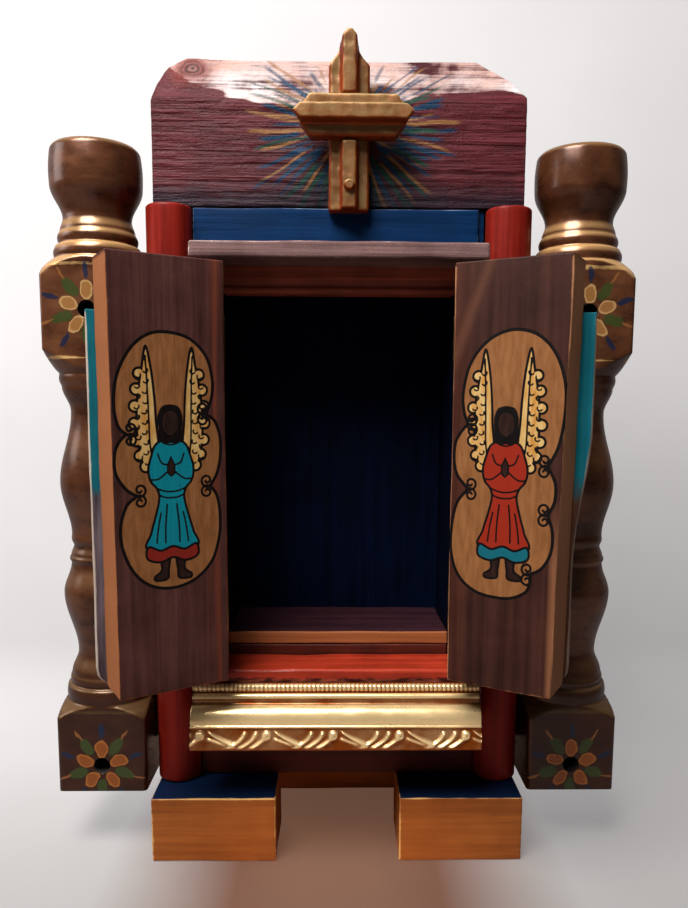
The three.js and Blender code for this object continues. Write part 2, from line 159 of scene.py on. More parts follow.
def same_place(node):
    """The box of a CAD node in millimetres."""
    low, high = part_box(node)
    return np.array(low) / MM, np.array(high) / MM


def paint(code):
    """The linear colour of a paint from its hex code."""
    part = np.array([int(code[at:at + 2], 16) for at in (1, 3, 5)]) / 255
    return (*np.where(part <= 0.04045, part / 12.92, ((part + 0.055) / 1.055) ** 2.4), 1)


def node(tree, kind, feeds, **settings):
    """Adds a shader node. A feed is a socket's value, or the output that is linked to it."""
    made = tree.nodes.new("ShaderNode" + kind)
    for key, value in settings.items():
        setattr(made, key, value)
    for socket, feed in feeds.items():
        if isinstance(feed, bpy.types.NodeSocket):
            tree.links.new(feed, made.inputs[socket])
        else:
            made.inputs[socket].default_value = feed
    return made


def calc(tree, operation, *values):
    """The result of a sum of numbers or sockets."""
    return node(tree, "Math", dict(enumerate(values)), operation=operation).outputs[0]


def times(tree, first, second):
    """The product of two values."""
    return calc(tree, "MULTIPLY", first, second)


def times_plus(tree, value, factor, more):
    """The value times the factor, and more added."""
    return calc(tree, "MULTIPLY_ADD", value, factor, more)


def axis_of(tree, vector, axis):
    """One of a vector's three numbers."""
    return node(tree, "SeparateXYZ", {0: vector}).outputs[axis]


def faces(tree, axis):
    """How far the surface faces along an axis, from -1 to 1."""
    return axis_of(tree, node(tree, "NewGeometry", {}).outputs["Normal"], axis)


def laid_on(tree, attribute, output="Fac"):
    """A value that the mesh carries at its points."""
    return node(tree, "Attribute", {}, attribute_name=attribute).outputs[output]


def stretched(tree, vector, scale):
    """Places for a pattern that changes at its own rate along each axis."""
    return node(tree, "Mapping", {"Vector": vector, "Scale": scale}).outputs[0]


def spread(tree, value, low, high, start=0.0, end=1.0):
    """Maps low..high to start..end, and holds the ends."""
    feeds = {"Value": value, "From Min": low, "From Max": high, "To Min": start, "To Max": end}
    return node(tree, "MapRange", feeds).outputs[0]


def mixed(tree, factor, first, second):
    """The second colour over the first by the factor."""
    return node(tree, "Mix", {0: factor, 6: first, 7: second}, data_type="RGBA").outputs[2]


def speckle(tree, vector, scale, detail=3.0, roughness=0.5):
    """Cloudy noise from 0 to 1."""
    feeds = {"Vector": vector, "Scale": scale, "Detail": detail, "Roughness": roughness}
    return node(tree, "TexNoise", feeds).outputs["Fac"]


def new_group(name, inputs, outputs):
    """An empty node group with its sockets, and its two end nodes."""
    tree = bpy.data.node_groups.new(name, "ShaderNodeTree")
    for ends, sockets in (("INPUT", inputs), ("OUTPUT", outputs)):
        for label, kind in sockets.items():
            tree.interface.new_socket(label, in_out=ends, socket_type="NodeSocket" + kind)
    return tree, tree.nodes.new("NodeGroupInput").outputs, tree.nodes.new("NodeGroupOutput").inputs


# Brushed paint over timber: long streaks of the brush and the grain, clouds of thick and thin
# paint, and bare or rubbed places where the edges have worn.
brushed, given, gives = new_group(
    "brushed_timber",
    {"Position": "Vector", "Grain": "Vector", "Edge": "Float", "Worn away": "Float",
     "Gloss": "Float", "Thin": "Color", "Full": "Color", "Bare": "Color"},
    {"Colour": "Color", "Roughness": "Float", "Height": "Float", "Wear": "Float"},
)
streak = speckle(brushed, given["Grain"], 1, 5, 0.6)
cloud = speckle(brushed, given["Position"], 38, 4, 0.6)
fine = speckle(brushed, given["Position"], 900, 2)
tone = times_plus(brushed, streak, 0.6, times(brushed, cloud, 0.4))
coat = mixed(brushed, spread(brushed, tone, 0.36, 0.64), given["Thin"], given["Full"])
patchy = times_plus(brushed, streak, 0.8, times_plus(brushed, cloud, 0.8, -0.8))
rubbed = calc(brushed, "ADD", calc(brushed, "ADD", given["Edge"], patchy), given["Worn away"])
rubbed = spread(brushed, rubbed, 0.9, 1.15)
brushed.links.new(mixed(brushed, rubbed, coat, given["Bare"]), gives["Colour"])
dull = times_plus(brushed, calc(brushed, "SUBTRACT", streak, 0.5), 0.35, given["Gloss"])
brushed.links.new(times_plus(brushed, rubbed, 0.18, dull), gives["Roughness"])
lumps = times_plus(brushed, fine, 0.25, streak)
brushed.links.new(times_plus(brushed, rubbed, -0.35, lumps), gives["Height"])
brushed.links.new(rubbed, gives["Wear"])


def new_material(name):
    """A material, its node tree and main shader, and the places on the object in metres."""
    material = bpy.data.materials.new(name)
    material.use_nodes = True
    tree = material.node_tree
    position = node(tree, "TexCoord", {}).outputs["Object"]
    return material, tree, tree.nodes["Principled BSDF"], position


def timber(name, full, thin, bare, grain, gloss=0.5, worn=0.0, relief=0.25, metal=0.0, sheen=0.2):
    """A material of brushed timber. `grain` is how fast the streaks change along x, y and z, per
    metre. Returns the material, and what a painter needs to lay more over it."""
    material, tree, shader, position = new_material(name)
    streaks = stretched(tree, position, grain)
    edge = laid_on(tree, "wear")
    coat = tree.nodes.new("ShaderNodeGroup")
    coat.node_tree = brushed
    for label, value in {"Worn away": worn, "Gloss": gloss, "Thin": paint(thin),
                         "Full": paint(full), "Bare": paint(bare)}.items():
        coat.inputs[label].default_value = value
    for label, feed in {"Position": position, "Grain": streaks, "Edge": edge}.items():
        tree.links.new(feed, coat.inputs[label])
    bump = node(tree, "Bump", {"Height": coat.outputs["Height"], "Distance": relief * MM,
                               "Strength": 1.0})
    tree.links.new(coat.outputs["Colour"], shader.inputs["Base Color"])
    tree.links.new(coat.outputs["Roughness"], shader.inputs["Roughness"])
    tree.links.new(bump.outputs[0], shader.inputs["Normal"])
    shader.inputs["Metallic"].default_value = metal
    shader.inputs["Specular IOR Level"].default_value = sheen
    return material, tree, shader, coat.outputs, position


# Long streaks of grain and brush along x or z, as rates of change per metre.
ALONG_X, ALONG_Z = (9, 330, 330), (330, 330, 9)


def coated(made, material):
    """Gives a mesh one material."""
    made.data.materials.clear()
    made.data.materials.append(material)


def fit(made, material, slot, body, *nodes):
    """Gives a piece its finish and its body, and the CAD nodes that it stands for."""
    coated(made, material)
    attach(made, body)
    if nodes:
        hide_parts(*nodes)


def gilded_foot(name):
    """Ochre gold brushed on the front and ends, navy on the top, with a rubbed gold edge."""
    material, tree, shader, coat, _ = timber(
        name, "#ac632b", "#8c4d1f", "#e0ad68", (9, 250, 250), gloss=0.42, worn=0.32, metal=0.2)
    top = spread(tree, faces(tree, "Z"), 0.5, 0.8)
    top = times(tree, top, calc(tree, "SUBTRACT", 1, coat["Wear"]))
    colour = mixed(tree, top, coat["Colour"], paint("#0a2140"))
    tree.links.new(colour, shader.inputs["Base Color"])
    return material


PLATE_OVERHANG = 0.45  # closes the hairline between the base board and the columns
foot_gilt = gilded_foot("foot_gilt")
base_maroon = timber("base_maroon", "#5a160a", "#330c06", "#7a3f26", ALONG_X)[0]
# The rear bar is painted bright orange: painted light, for the light the paper throws on it under
# the base.
bar_brown_painted_light = timber("bar_brown_painted_light", "#f08a3c", "#d87022", "#e09858", ALONG_X)[0]

for side in ("left", "right"):
    foot = board(f"foot_block_{side}", *same_place(f"foot_{side}"), 0, radius=1.1, seed=3)
    fit(foot, foot_gilt, "gold_paint", "box", f"foot_{side}")
bar = board("rear_bar", *same_place("rear_foot"), 0, seed=5)
fit(bar, bar_brown_painted_light, "bronze_paint", "box", "rear_foot")
low, high = same_place("base_board")
overhang = np.array([PLATE_OVERHANG, 0, 0])
plate = board("base_plate", low - overhang, high + overhang, 0, seed=6)
fit(plate, base_maroon, "maroon_paint", "box", "base_board")

# ---- the hollow box --------------------------------------------------------------------------
# Planed boards nailed round a niche: sides, back, top, floor and the rails above and below the
# opening. The inside is deep navy, the floor and the rails are dark red-brown.

niche_navy = timber("niche_navy", "#02081c", "#01030c", "#1a2540", ALONG_Z, gloss=0.6,
                    sheen=0.05)[0]
back_navy = timber("back_navy", "#020c26", "#010614", "#5a4636", ALONG_Z, gloss=0.6, sheen=0.05)[0]
top_navy = timber("top_navy", "#032b54", "#021f3e", "#8895a5", ALONG_X, gloss=0.5, worn=0.12,
                  sheen=0.08)[0]
dark_red = timber("dark_red", "#5c2418", "#35120c", "#8a4a30", ALONG_X, gloss=0.45)[0]
# The head rail's dark red-brown is painted paler here, as painted light, since it sits in shade
# under the cap strip.
rail_red_painted_light = timber("rail_red_painted_light", "#a8523c", "#6d2c1c", "#c08060", ALONG_X, gloss=0.5)[0]

# The floor board is dark on top, and its front edge is wiped with ochre.
sill_maroon, tree, shader, coat, position = timber(
    "sill_maroon", "#35181f", "#200d14", "#a8642f", ALONG_X, gloss=0.55, worn=0.1)
sill_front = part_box("niche_floor")[0][1]
ochre_edge = spread(tree, axis_of(tree, position, "Y"),
                    sill_front + 1.6 * MM, sill_front + 1.0 * MM)
wiped = mixed(tree, coat["Height"], paint("#6a3218"), paint("#b0683a"))
tree.links.new(mixed(tree, ochre_edge, coat["Colour"], wiped), shader.inputs["Base Color"])

BOX_BOARDS = {
    "side_board_left": (2, niche_navy, "navy_paint"),
    "side_board_right": (2, niche_navy, "navy_paint"),
    "back_board": (2, back_navy, "navy_paint"),
    "top_board": (0, top_navy, "navy_paint"),
    "top_front_board": (0, top_navy, "navy_paint"),
    "top_end_piece": (0, top_navy, "navy_paint"),
    "niche_floor": (0, sill_maroon, "maroon_paint"),
    "lower_front_board": (0, dark_red, "maroon_paint"),
}
for seed, (name, (run, material, slot)) in enumerate(BOX_BOARDS.items()):
    made = board(name + "_timber", *same_place(name), run, radius=0.7, seed=10 + seed)
    fit(made, material, slot, "box", name)
coated(frame["nodes"]["head_rail"], rail_red_painted_light)

# ---- strips on the front ---------------------------------------------------------------------
# A bare, greyed cap strip over the doors, the red ledge under them with its worn front edge, and
# the two stiles beside the opening that carry the hinges.

# The cap strip's pale rubbed edges and streaks are partly wear and partly painted highlight.
grey_wood = timber("grey_wood", "#866460", "#4c3432", "#e2c8bc", ALONG_X, gloss=0.65, relief=0.6,
                   worn=0.22)[0]
ledge_red, tree, shader, coat, position = timber(
    "ledge_red", "#b0361f", "#7a2010", "#8a3c28", ALONG_X, gloss=0.4, worn=0.15, relief=0.5)
# Below a ragged line close under its top edge, the ledge's front is dark and rough.
broken = speckle(tree, stretched(tree, position, (120, 400, 400)), 1, 4, 0.6)
ledge_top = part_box("front_rail")[1][2]
limit = times_plus(tree, broken, 0.006, axis_of(tree, position, "Z"))
under = spread(tree, limit, ledge_top - 1.5 * MM, ledge_top - 3 * MM)
rough_dark = mixed(tree, spread(tree, broken, 0.45, 0.65), paint("#3c130c"), paint("#8a4a38"))
tree.links.new(mixed(tree, under, coat["Colour"], rough_dark), shader.inputs["Base Color"])
stile_navy = timber("stile_navy", "#0a1530", "#050b1c", "#4a3a30", ALONG_Z, gloss=0.5)[0]

strip = board("cap_strip", *same_place("lintel_strip"), 0, radius=1.5, step=5, rough=0.2, seed=21)
fit(strip, grey_wood, "bare_wood", "box", "lintel_strip")
ledge = board("red_ledge", *same_place("front_rail"), 0, radius=1.8, step=5, rough=0.3, seed=22)
fit(ledge, ledge_red, "red_paint", "box", "front_rail")
for side in ("left", "right"):
    stile = board(f"hinge_stile_{side}", *same_place(f"stile_{side}"), 2, radius=0.6, seed=23)
    fit(stile, stile_navy, "navy_paint", "box", f"stile_{side}")

# ---- gilded moulding -------------------------------------------------------------------------
# A length of picture-frame moulding with cast ornament: a row of pearls, a cove, a broad burnished
# band, and curling leaves along the bottom. It leans out from the ledge, gilded over brown.

moulding_low, moulding_high = same_place("gold_moulding")
LEAF_PITCH, PEARL_PITCH, SECTION_STEP = 36.0, 2.4, 0.45
PEARL_POINTS, LEAF_POINTS = 11, 30  # points down the pearls' and the leaves' part of the profile


def leaf_relief(x, down):
    """Height of the leaf carving, 0 to 1. In every pitch one long blade slants down to the right
    and three short ones rise to the right and end in a curl; each is a bell of the distance from
    its own line, wider at its foot."""
    along = x / LEAF_PITCH - np.floor(x / LEAF_PITCH)

    def bell(distance, width):
        return np.exp(-((distance / width) ** 2))

    run = np.clip((along - 0.04) / 0.4, 0, 1)
    inside = smooth_step(along, 0.02, 0.1) * smooth_step(along, 0.48, 0.4)
    relief = bell(down - 0.1 - 0.72 * run**0.8, 0.1 * (0.4 + run)) * inside
    inside = smooth_step(along, 0.0, 0.08) * smooth_step(along, 0.34, 0.26)
    relief += 0.6 * bell(down - 0.5 - 0.45 * run, 0.07) * inside
    for foot in (0.36, 0.53, 0.7):
        rise = np.clip((0.92 - down) / 0.72, 0, 1)
        bend = foot + 0.24 * rise + 0.05 * np.sin(np.pi * rise)
        relief += bell(along - bend, 0.045 - 0.02 * rise) * smooth_step(down, 0.12, 0.24)
    relief += 0.8 * bell(np.hypot((along - 0.93) * 3.2, down - 0.34) - 0.15, 0.07)
    return np.clip(relief, 0, 1) * smooth_step(down, 1.0, 0.86)


def capped(rings, shares):
    """Rings with both ends closed: copies of the end rings, drawn in round their middles to these
    shares of their size."""
    middle = rings.mean(1, keepdims=True)
    start, end = ([middle[[at]] + (rings[[at]] - middle[[at]]) * share for share in shares]
                  for at in (0, -1))
    return np.concatenate(start + [rings] + end[::-1])


def moulding_rings():
    """One section for each place along x: the profile is given as depth and height, and pearls and
    leaves lift its face by an amount that changes along x. Wear, which also carries a painted
    highlight, is high on what stands out."""
    turn = np.radians(np.linspace(0, 180, PEARL_POINTS))
    quarter = np.radians(np.linspace(0, 90, 9))
    hollow = quarter * 2 - np.pi / 2
    swell = np.pi / 2 * np.linspace(0, 1, 18)
    down = np.linspace(0, 1, LEAF_POINTS)
    stretches = {
        "back": ([(-44, 73), (-38, 73), (-29.3, 73), (-29.3, 90), (-29.3, 106), (-31, 106)], 0.1),
        "pearls": (np.stack([-31.6 - 1.9 * np.sin(turn), 103.7 + 2.0 * np.cos(turn)], 1), 0.85),
        "groove": ([(-32.4, 101.4), (-33.2, 101.3)], 0.0),
        "fillet": (np.stack([-33.6 - 1.5 * np.sin(quarter), 99.5 + 1.6 * np.cos(quarter)], 1), 0.8),
        "cove": (np.stack([-35.6 + 1.0 * np.cos(hollow), 97.2 - 1.5 * np.sin(hollow)], 1), 0.25),
        "band": (np.stack([-36.2 - 6.2 * np.sin(swell), 95.6 - 8.6 * (1 - np.cos(swell))], 1),
                 0.85),
        "edge": ([(-42.3, 86.7), (-42.9, 86.5), (-43.4, 86.0), (-43.3, 85.5), (-43.0, 85.3)], 0.7),
        "leaves": (np.stack([-43.0 - 2.1 * down, 85 - 11 * down], 1), 0.2),
    }
    face = np.concatenate([np.array(points, float) for points, _ in stretches.values()])
    rubbed = np.concatenate([np.full(len(points), share) for points, share in stretches.values()])
    x = np.arange(moulding_low[0], moulding_high[0] + 0.01, SECTION_STEP)
    rings = np.empty((len(x), len(face), 3))
    rings[..., 0], rings[..., 1], rings[..., 2] = x[:, None], face[:, 0] - REST, face[:, 1]
    round_pearl = np.abs(np.sin(np.pi * x / PEARL_PITCH))[:, None] ** 0.6
    leaves = leaf_relief(x[:, None], down[None])
    wear = np.repeat(rubbed[None], len(x), 0)
    start = len(stretches["back"][0])
    pearls = slice(start, start + PEARL_POINTS)
    rings[:, pearls, 1] += 0.9 * (1 - round_pearl) * np.sin(turn)
    wear[:, pearls] *= round_pearl
    rings[:, -LEAF_POINTS:, 1] -= 1.6 * leaves - 0.4
    wear[:, -LEAF_POINTS:] += 0.75 * leaves
    rings[..., 1] += 0.12 * (0.5 * (1 + ripple(rings, 9, 35)))
    return capped(rings, (0, 0.5, 0.9)), np.pad(wear, ((3, 3), (0, 0)))


rings, wear = moulding_rings()
moulding = skin("gilded_moulding", rings, [("wear", "FLOAT", wear)])
gilding, tree, shader, _, position = timber(
    "gilding", "#8f4f1c", "#6b3510", "#e3b873", (60, 200, 200), gloss=0.3, metal=0.55, relief=0.1)
# Pale gold where the profile stands out and brown in its hollows: partly rubbed gilding over brown,
# partly painted highlight on the band and beads and painted shade in the hollows.
raised = laid_on(tree, "wear")
patch = times_plus(tree, speckle(tree, position, 70, 4), 0.5,
                   calc(tree, "SUBTRACT", raised, 0.25))
gold = mixed(tree, spread(tree, patch, 0.15, 0.75), paint("#8a4210"), paint("#f6d49a"))
tree.links.new(gold, shader.inputs["Base Color"])
fit(moulding, gilding, "gold_leaf", "box", "gold_moulding")

# ---- columns and spacers ---------------------------------------------------------------------
# Two lengths of one-inch dowel in satin brick red, sawn off square, and behind each a packing
# board that joins the box to its post.


def turned_rings(stops_up, radii, sides, centre, squash=None):
    """Rings round an upright axis, closed to a point at both ends. `squash` may limit the radius
    at each angle, as where square stock is left."""
    turn = 2 * np.pi * np.arange(sides) / sides
    inner = np.array([0, 0.25, 0.6, 0.9, 0.97])
    height = np.pad(stops_up, len(inner), "edge")
    radius = np.concatenate([inner * radii[0], radii, (inner * radii[-1])[::-1]])
    reach = np.repeat(radius[:, None], sides, 1)
    if squash is not None:
        share = np.concatenate([inner, np.ones(len(radii)), inner[::-1]])
        reach = np.minimum(reach, squash(turn)[None] * share[:, None])
    return np.stack([centre[0] + reach * np.cos(turn), centre[1] + reach * np.sin(turn),
                     np.repeat(height[:, None], sides, 1)], -1)


column_red = timber("column_red", "#861f14", "#5c1009", "#b85a40", ALONG_Z, gloss=0.4, relief=0.15,
                    sheen=0.12)[0]
spacer_brown = timber("spacer_brown", "#6b3d1d", "#45260f", "#8a5b33", ALONG_Z)[0]
for side in ("left", "right"):
    low, high = same_place(f"column_{side}")
    radius = (high[0] - low[0]) / 2
    tall = high[2] - low[2]
    near_end = np.array([0, 0.25, 0.8, 1.4])
    climb = np.concatenate([near_end, np.linspace(4, tall - 4, 90), tall - near_end[::-1]])
    rounding = np.minimum(climb, climb[-1] - climb)
    radii = radius - 0.8 * (1 - np.clip(rounding / 1.2, 0, 1)) ** 2
    rings = turned_rings(low[2] + climb, radii, 72, (low[:2] + high[:2]) / 2)
    # The pale rim round the top end, carried as wear, is a painted highlight.
    wear = np.exp(-np.abs(rings[..., 2] - high[2]) / 0.7) * 0.8
    column = skin(f"dowel_column_{side}", rings, [("wear", "FLOAT", wear)])
    fit(column, column_red, "red_paint", "box", f"column_{side}")
    spacer = board(f"packing_board_{side}", *same_place(f"side_spacer_{side}"), 2, seed=31)
    fit(spacer, spacer_brown, "gold_paint", "box", f"side_spacer_{side}")

# ---- turned posts ----------------------------------------------------------------------------
# Two-inch square stock turned between its blocks, drilled in front of each block, bronzed over
# dark brown with gold rubbed on the rings, a painted highlight on what faces up, and painted shade
# on the right post's cup. A flower is painted round each hole.

HALF_STOCK = 25.4
CORNER = HALF_STOCK * np.sqrt(2) + 1
# Up to each height the turning goes to this radius. The third figure swells a straight stretch;
# None eases in and out.
TURNING = [
    (76, CORNER, 0), (87, 25.2, 1.6), (95, 24.8, 0.5), (96, 22.8, 0), (102, 22.4, 0.8),
    (115, 18.4, None), (150, 25.2, None), (168, 20.6, None), (172, 20.6, 0.9), (178, 18.9, None),
    (184, 19.8, 0.7), (214, 25.2, None), (255, 18, None), (269, 22.4, None), (276, 23.4, 0.8),
    (278, 25.2, 0), (290, CORNER, -1), (323, CORNER, 0), (338, 25.2, 2), (339, 23.6, 0),
    (346, 22.8, 1), (347, 21, 0), (354, 20.4, 1.2), (361, 18.6, None), (379, 25, None),
    (396.5, 24.4, 0.5), (399.5, 22.4, 0.5),
]
HOLES = {"lower": 51.4, "upper": 309.8}
HOLE_RADIUS, HOLE_DEPTH = 4.75, 13
POST_FOOT, ROUND_STEPS = 36.0, 144


def post_profile():
    """Heights and radii up the post, about every 0.9 mm: each stretch runs straight or as half a
    cosine to its end, plus half a sine wave of swelling."""
    heights, radii = [POST_FOOT], [CORNER]
    for top, radius, swell in TURNING:
        count = max(3, int(np.ceil((top - heights[-1]) / 0.9)))
        part = np.arange(1, count + 1) / count
        eased = (1 - np.cos(np.pi * part)) / 2 if swell is None else part
        start, foot = radii[-1], heights[-1]
        radii += list(start + (radius - start) * eased + (swell or 0) * np.sin(np.pi * part))
        heights += list(foot + (top - foot) * part)
    return np.array(heights), np.array(radii)


def square_limit(turn):
    """How far the square stock reaches at each angle, its corners just taken off."""
    reach = HALF_STOCK / np.maximum(np.abs(np.cos(turn)), np.abs(np.sin(turn)))
    return np.minimum(reach, HALF_STOCK * np.sqrt(2) - 0.9)


# Petals, leaves and dashes round a hole. Turning the angle round the hole into repeats of 72
# degrees makes five of each; each is an oval or a bar at its own distance.
flower, given, gives = new_group(
    "hole_flower", {"Offset": "Vector", "Position": "Vector"},
    {"Petal": "Float", "Leaf": "Float", "Stroke": "Float", "Dash": "Float", "Blush": "Float"})
unsteady = node(flower, "TexNoise", {"Vector": given["Position"], "Scale": 160.0, "Detail": 2.0})
shaky = node(flower, "VectorMath", {0: unsteady.outputs["Color"], 1: (0.5, 0.5, 0.5)},
             operation="SUBTRACT").outputs[0]
shaky = node(flower, "VectorMath", {0: shaky, "Scale": 0.0035}, operation="SCALE").outputs[0]
shaky = node(flower, "VectorMath", {0: shaky, 1: given["Offset"]}, operation="ADD").outputs[0]
shaky = node(flower, "SeparateXYZ", {0: shaky}).outputs
across, up = (times(flower, shaky[axis], 1000) for axis in ("X", "Z"))
away = calc(flower, "SQRT", calc(flower, "ADD", times(flower, across, across),
                                 times(flower, up, up)))
bearing = calc(flower, "ARCTAN2", across, up)


def five_fold(turned_by):
    """Across and out from the hole, in the nearest of five rays that start at this bearing."""
    ray = calc(flower, "WRAP", calc(flower, "ADD", bearing, turned_by), np.pi / 5, -np.pi / 5)
    return (times(flower, away, calc(flower, trig, ray)) for trig in ("SINE", "COSINE"))


def oval(side, out, centre, half_wide, half_long):
    """1 inside an oval on a ray, 0 outside."""
    wide = calc(flower, "ABSOLUTE", calc(flower, "DIVIDE", side, half_wide))
    wide = calc(flower, "POWER", wide, 2)
    long = calc(flower, "DIVIDE", calc(flower, "SUBTRACT", out, centre), half_long)
    return calc(flower, "ADD", wide, times(flower, long, long))


side, out = five_fold(0)
petal = oval(side, out, 10, 3.6, 5.3)
flower.links.new(spread(flower, petal, 1.05, 0.85), gives["Petal"])
flower.links.new(spread(flower, petal, 0.75, 0.45), gives["Blush"])
flower.links.new(spread(flower, oval(side, out, 20.5, 1.5, 4.6), 1.2, 0.8), gives["Dash"])
side, out = five_fold(np.pi / 5)
flower.links.new(spread(flower, oval(side, out, 14, 3.0, 5.8), 1.15, 0.8), gives["Leaf"])
flower.links.new(spread(flower, oval(side, out, 22.5, 0.7, 4.0), 1.2, 0.7), gives["Stroke"])


PETALS = {"lower": ("#b06a2c", "#84441a"), "upper": ("#cda068", "#94602f")}


def post_bronze(name, side):
    """Bronze rubbed over dark brown with painted highlight and shade, and the two flowers on the
    front faces.
    """
    material, tree, shader, coat, position = timber(
        name, "#6e4228", "#37190e", "#e0b070", (55, 55, 110), gloss=0.3, worn=0.12, relief=0.06)
    low, high = same_place(f"post_{side}")
    centre = (low + high) / 2 * MM
    up_post = axis_of(tree, position, "Z")
    # The stain is darkest on the lower block. Over the right post's cup the same dark colour is
    # painted shade, as the light falls from the left.
    dark = spread(tree, up_post, 0.125, 0.09, 0.3 if side == "left" else 0.2, 0.9)
    dark = times(tree, dark, spread(tree, up_post, 0.28, 0.24))
    if side == "right":
        dark = calc(tree, "MAXIMUM", dark, spread(tree, up_post, 0.345, 0.36, 0, 0.3))
    stain_and_shade = mixed(tree, coat["Height"], paint("#1a0a04"), paint("#3c1a0a"))
    colour = mixed(tree, dark, coat["Colour"], stain_and_shade)
    # Pale gold on what faces up is a painted highlight, strongest on the rings under the cup.
    upward_highlight = spread(tree, faces(tree, "Z"), 0.15, 0.6)
    upward_highlight = times(tree, upward_highlight, spread(tree, up_post, 0.3, 0.34, 0.12, 0.7))
    upward_highlight = times(tree, upward_highlight, spread(tree, up_post, 0.396, 0.386, 0.25, 1))
    colour = mixed(tree, upward_highlight, colour, paint("#e0ae72"))
    front = spread(tree, axis_of(tree, position, "Y"), (low[1] + 1.2) * MM, (low[1] + 0.6) * MM)
    for level, height in HOLES.items():
        offset = node(tree, "VectorMath", {0: position, 1: (centre[0], 0, height * MM)},
                      operation="SUBTRACT").outputs[0]
        offset = node(tree, "VectorMath", {0: offset, 1: (1, 0, 1)},
                      operation="MULTIPLY").outputs[0]
        bloom = tree.nodes.new("ShaderNodeGroup")
        bloom.node_tree = flower
        tree.links.new(offset, bloom.inputs["Offset"])
        tree.links.new(position, bloom.inputs["Position"])
        rim, fill = PETALS[level]
        for part, code in {"Leaf": "#38481f", "Stroke": "#8f5a30", "Dash": "#10243f",
                           "Petal": rim, "Blush": fill}.items():
            here = times(tree, times(tree, bloom.outputs[part], front), 0.85)
            colour = mixed(tree, here, colour, paint(code))
    tree.links.new(colour, shader.inputs["Base Color"])
    tree.links.new(times_plus(tree, coat["Wear"], 0.3, 0.3), shader.inputs["Metallic"])
    shader.inputs["Coat Weight"].default_value = 0.35
    shader.inputs["Coat Roughness"].default_value = 0.22
    return material


# Each hole is painted near black inside: painted shade.
hole_dark, tree, shader, position = new_material("hole_dark")
hole_shade = mixed(tree, speckle(tree, position, 300), paint("#0a0605"), paint("#24140c"))
tree.links.new(hole_shade, shader.inputs["Base Color"])
shader.inputs["Roughness"].default_value = 0.9


def finished(made):
    """Applies a piece's modifiers to its mesh."""
    bpy.context.view_layer.update()
    graph = bpy.context.evaluated_depsgraph_get()
    done = bpy.data.meshes.new_from_object(made.evaluated_get(graph))
    made.modifiers.clear()
    made.data = done


def drill_hole(post, place):
    """Cuts a blind round hole into the front of a post, painted near black inside as shade."""
    shape = bmesh.new()
    bmesh.ops.create_cone(shape, cap_ends=True, segments=40, radius1=HOLE_RADIUS * MM,
                          radius2=HOLE_RADIUS * MM, depth=2 * HOLE_DEPTH * MM)
    bmesh.ops.rotate(shape, verts=shape.verts, matrix=Matrix.Rotation(np.pi / 2, 3, "X"))
    bmesh.ops.translate(shape, verts=shape.verts, vec=place)
    mesh = bpy.data.meshes.new("drill")
    shape.to_mesh(mesh)
    shape.free()
    mesh.materials.append(hole_dark)
    drill = in_scene("drill", mesh)
    cut = post.modifiers.new("hole", "BOOLEAN")
    cut.object, cut.operation = drill, "DIFFERENCE"
    cut.solver, cut.material_mode = "EXACT", "TRANSFER"
    finished(post)
    bpy.data.objects.remove(drill)


# Wear on a ring is how far it stands out from the profile blurred over 19 steps.
heights, radii = post_profile()
turned = np.minimum(radii, 30)
window = np.hanning(19) / np.hanning(19).sum()
ring_wear = np.clip((turned - np.convolve(np.pad(turned, 9, "edge"), window, "valid")) / 0.9, 0, 1)
for side in ("left", "right"):
    low, high = same_place(f"post_{side}")
    middle = (low[:2] + high[:2]) / 2
    rings = turned_rings(heights, radii, ROUND_STEPS, middle, square_limit)
    lathe = np.pad(ring_wear, 5, "edge")[:, None] * np.ones(ROUND_STEPS)
    post = skin(f"turned_post_{side}", rings, [("wear", "FLOAT", lathe)])
    fit(post, post_bronze(f"post_bronze_{side}", side), "bronze_paint", "box", f"post_{side}")
    post.data.materials.append(hole_dark)
    for height in HOLES.values():
        drill_hole(post, (middle[0] * MM, low[1] * MM, height * MM))

# ---- header board ----------------------------------------------------------------------------
# A weathered board on edge, nailed over the box. Its face is stained maroon, the slant of the log
# is left pale along the top, and short strokes of paint spread from behind the cross.

header_low, header_high = same_place("header_board")
CROSS_CENTRE = (6, 411)
SLANT_DOWN, SLANT_BACK = 25, 11  # how far the pale slant comes down the face, and leans back
KNOT_IN, KNOT_DOWN = 22, 5


def header_top(x):
    """Height of the board's top edge below its highest line: both corners are sawn off."""
    half = header_high[0]
    return -np.interp(x, [-half, 3 - half, 8 - half, 18 - half, half - 27, half - 9, half],
                      [26, 16, 6, 0, 0, 12, 22])


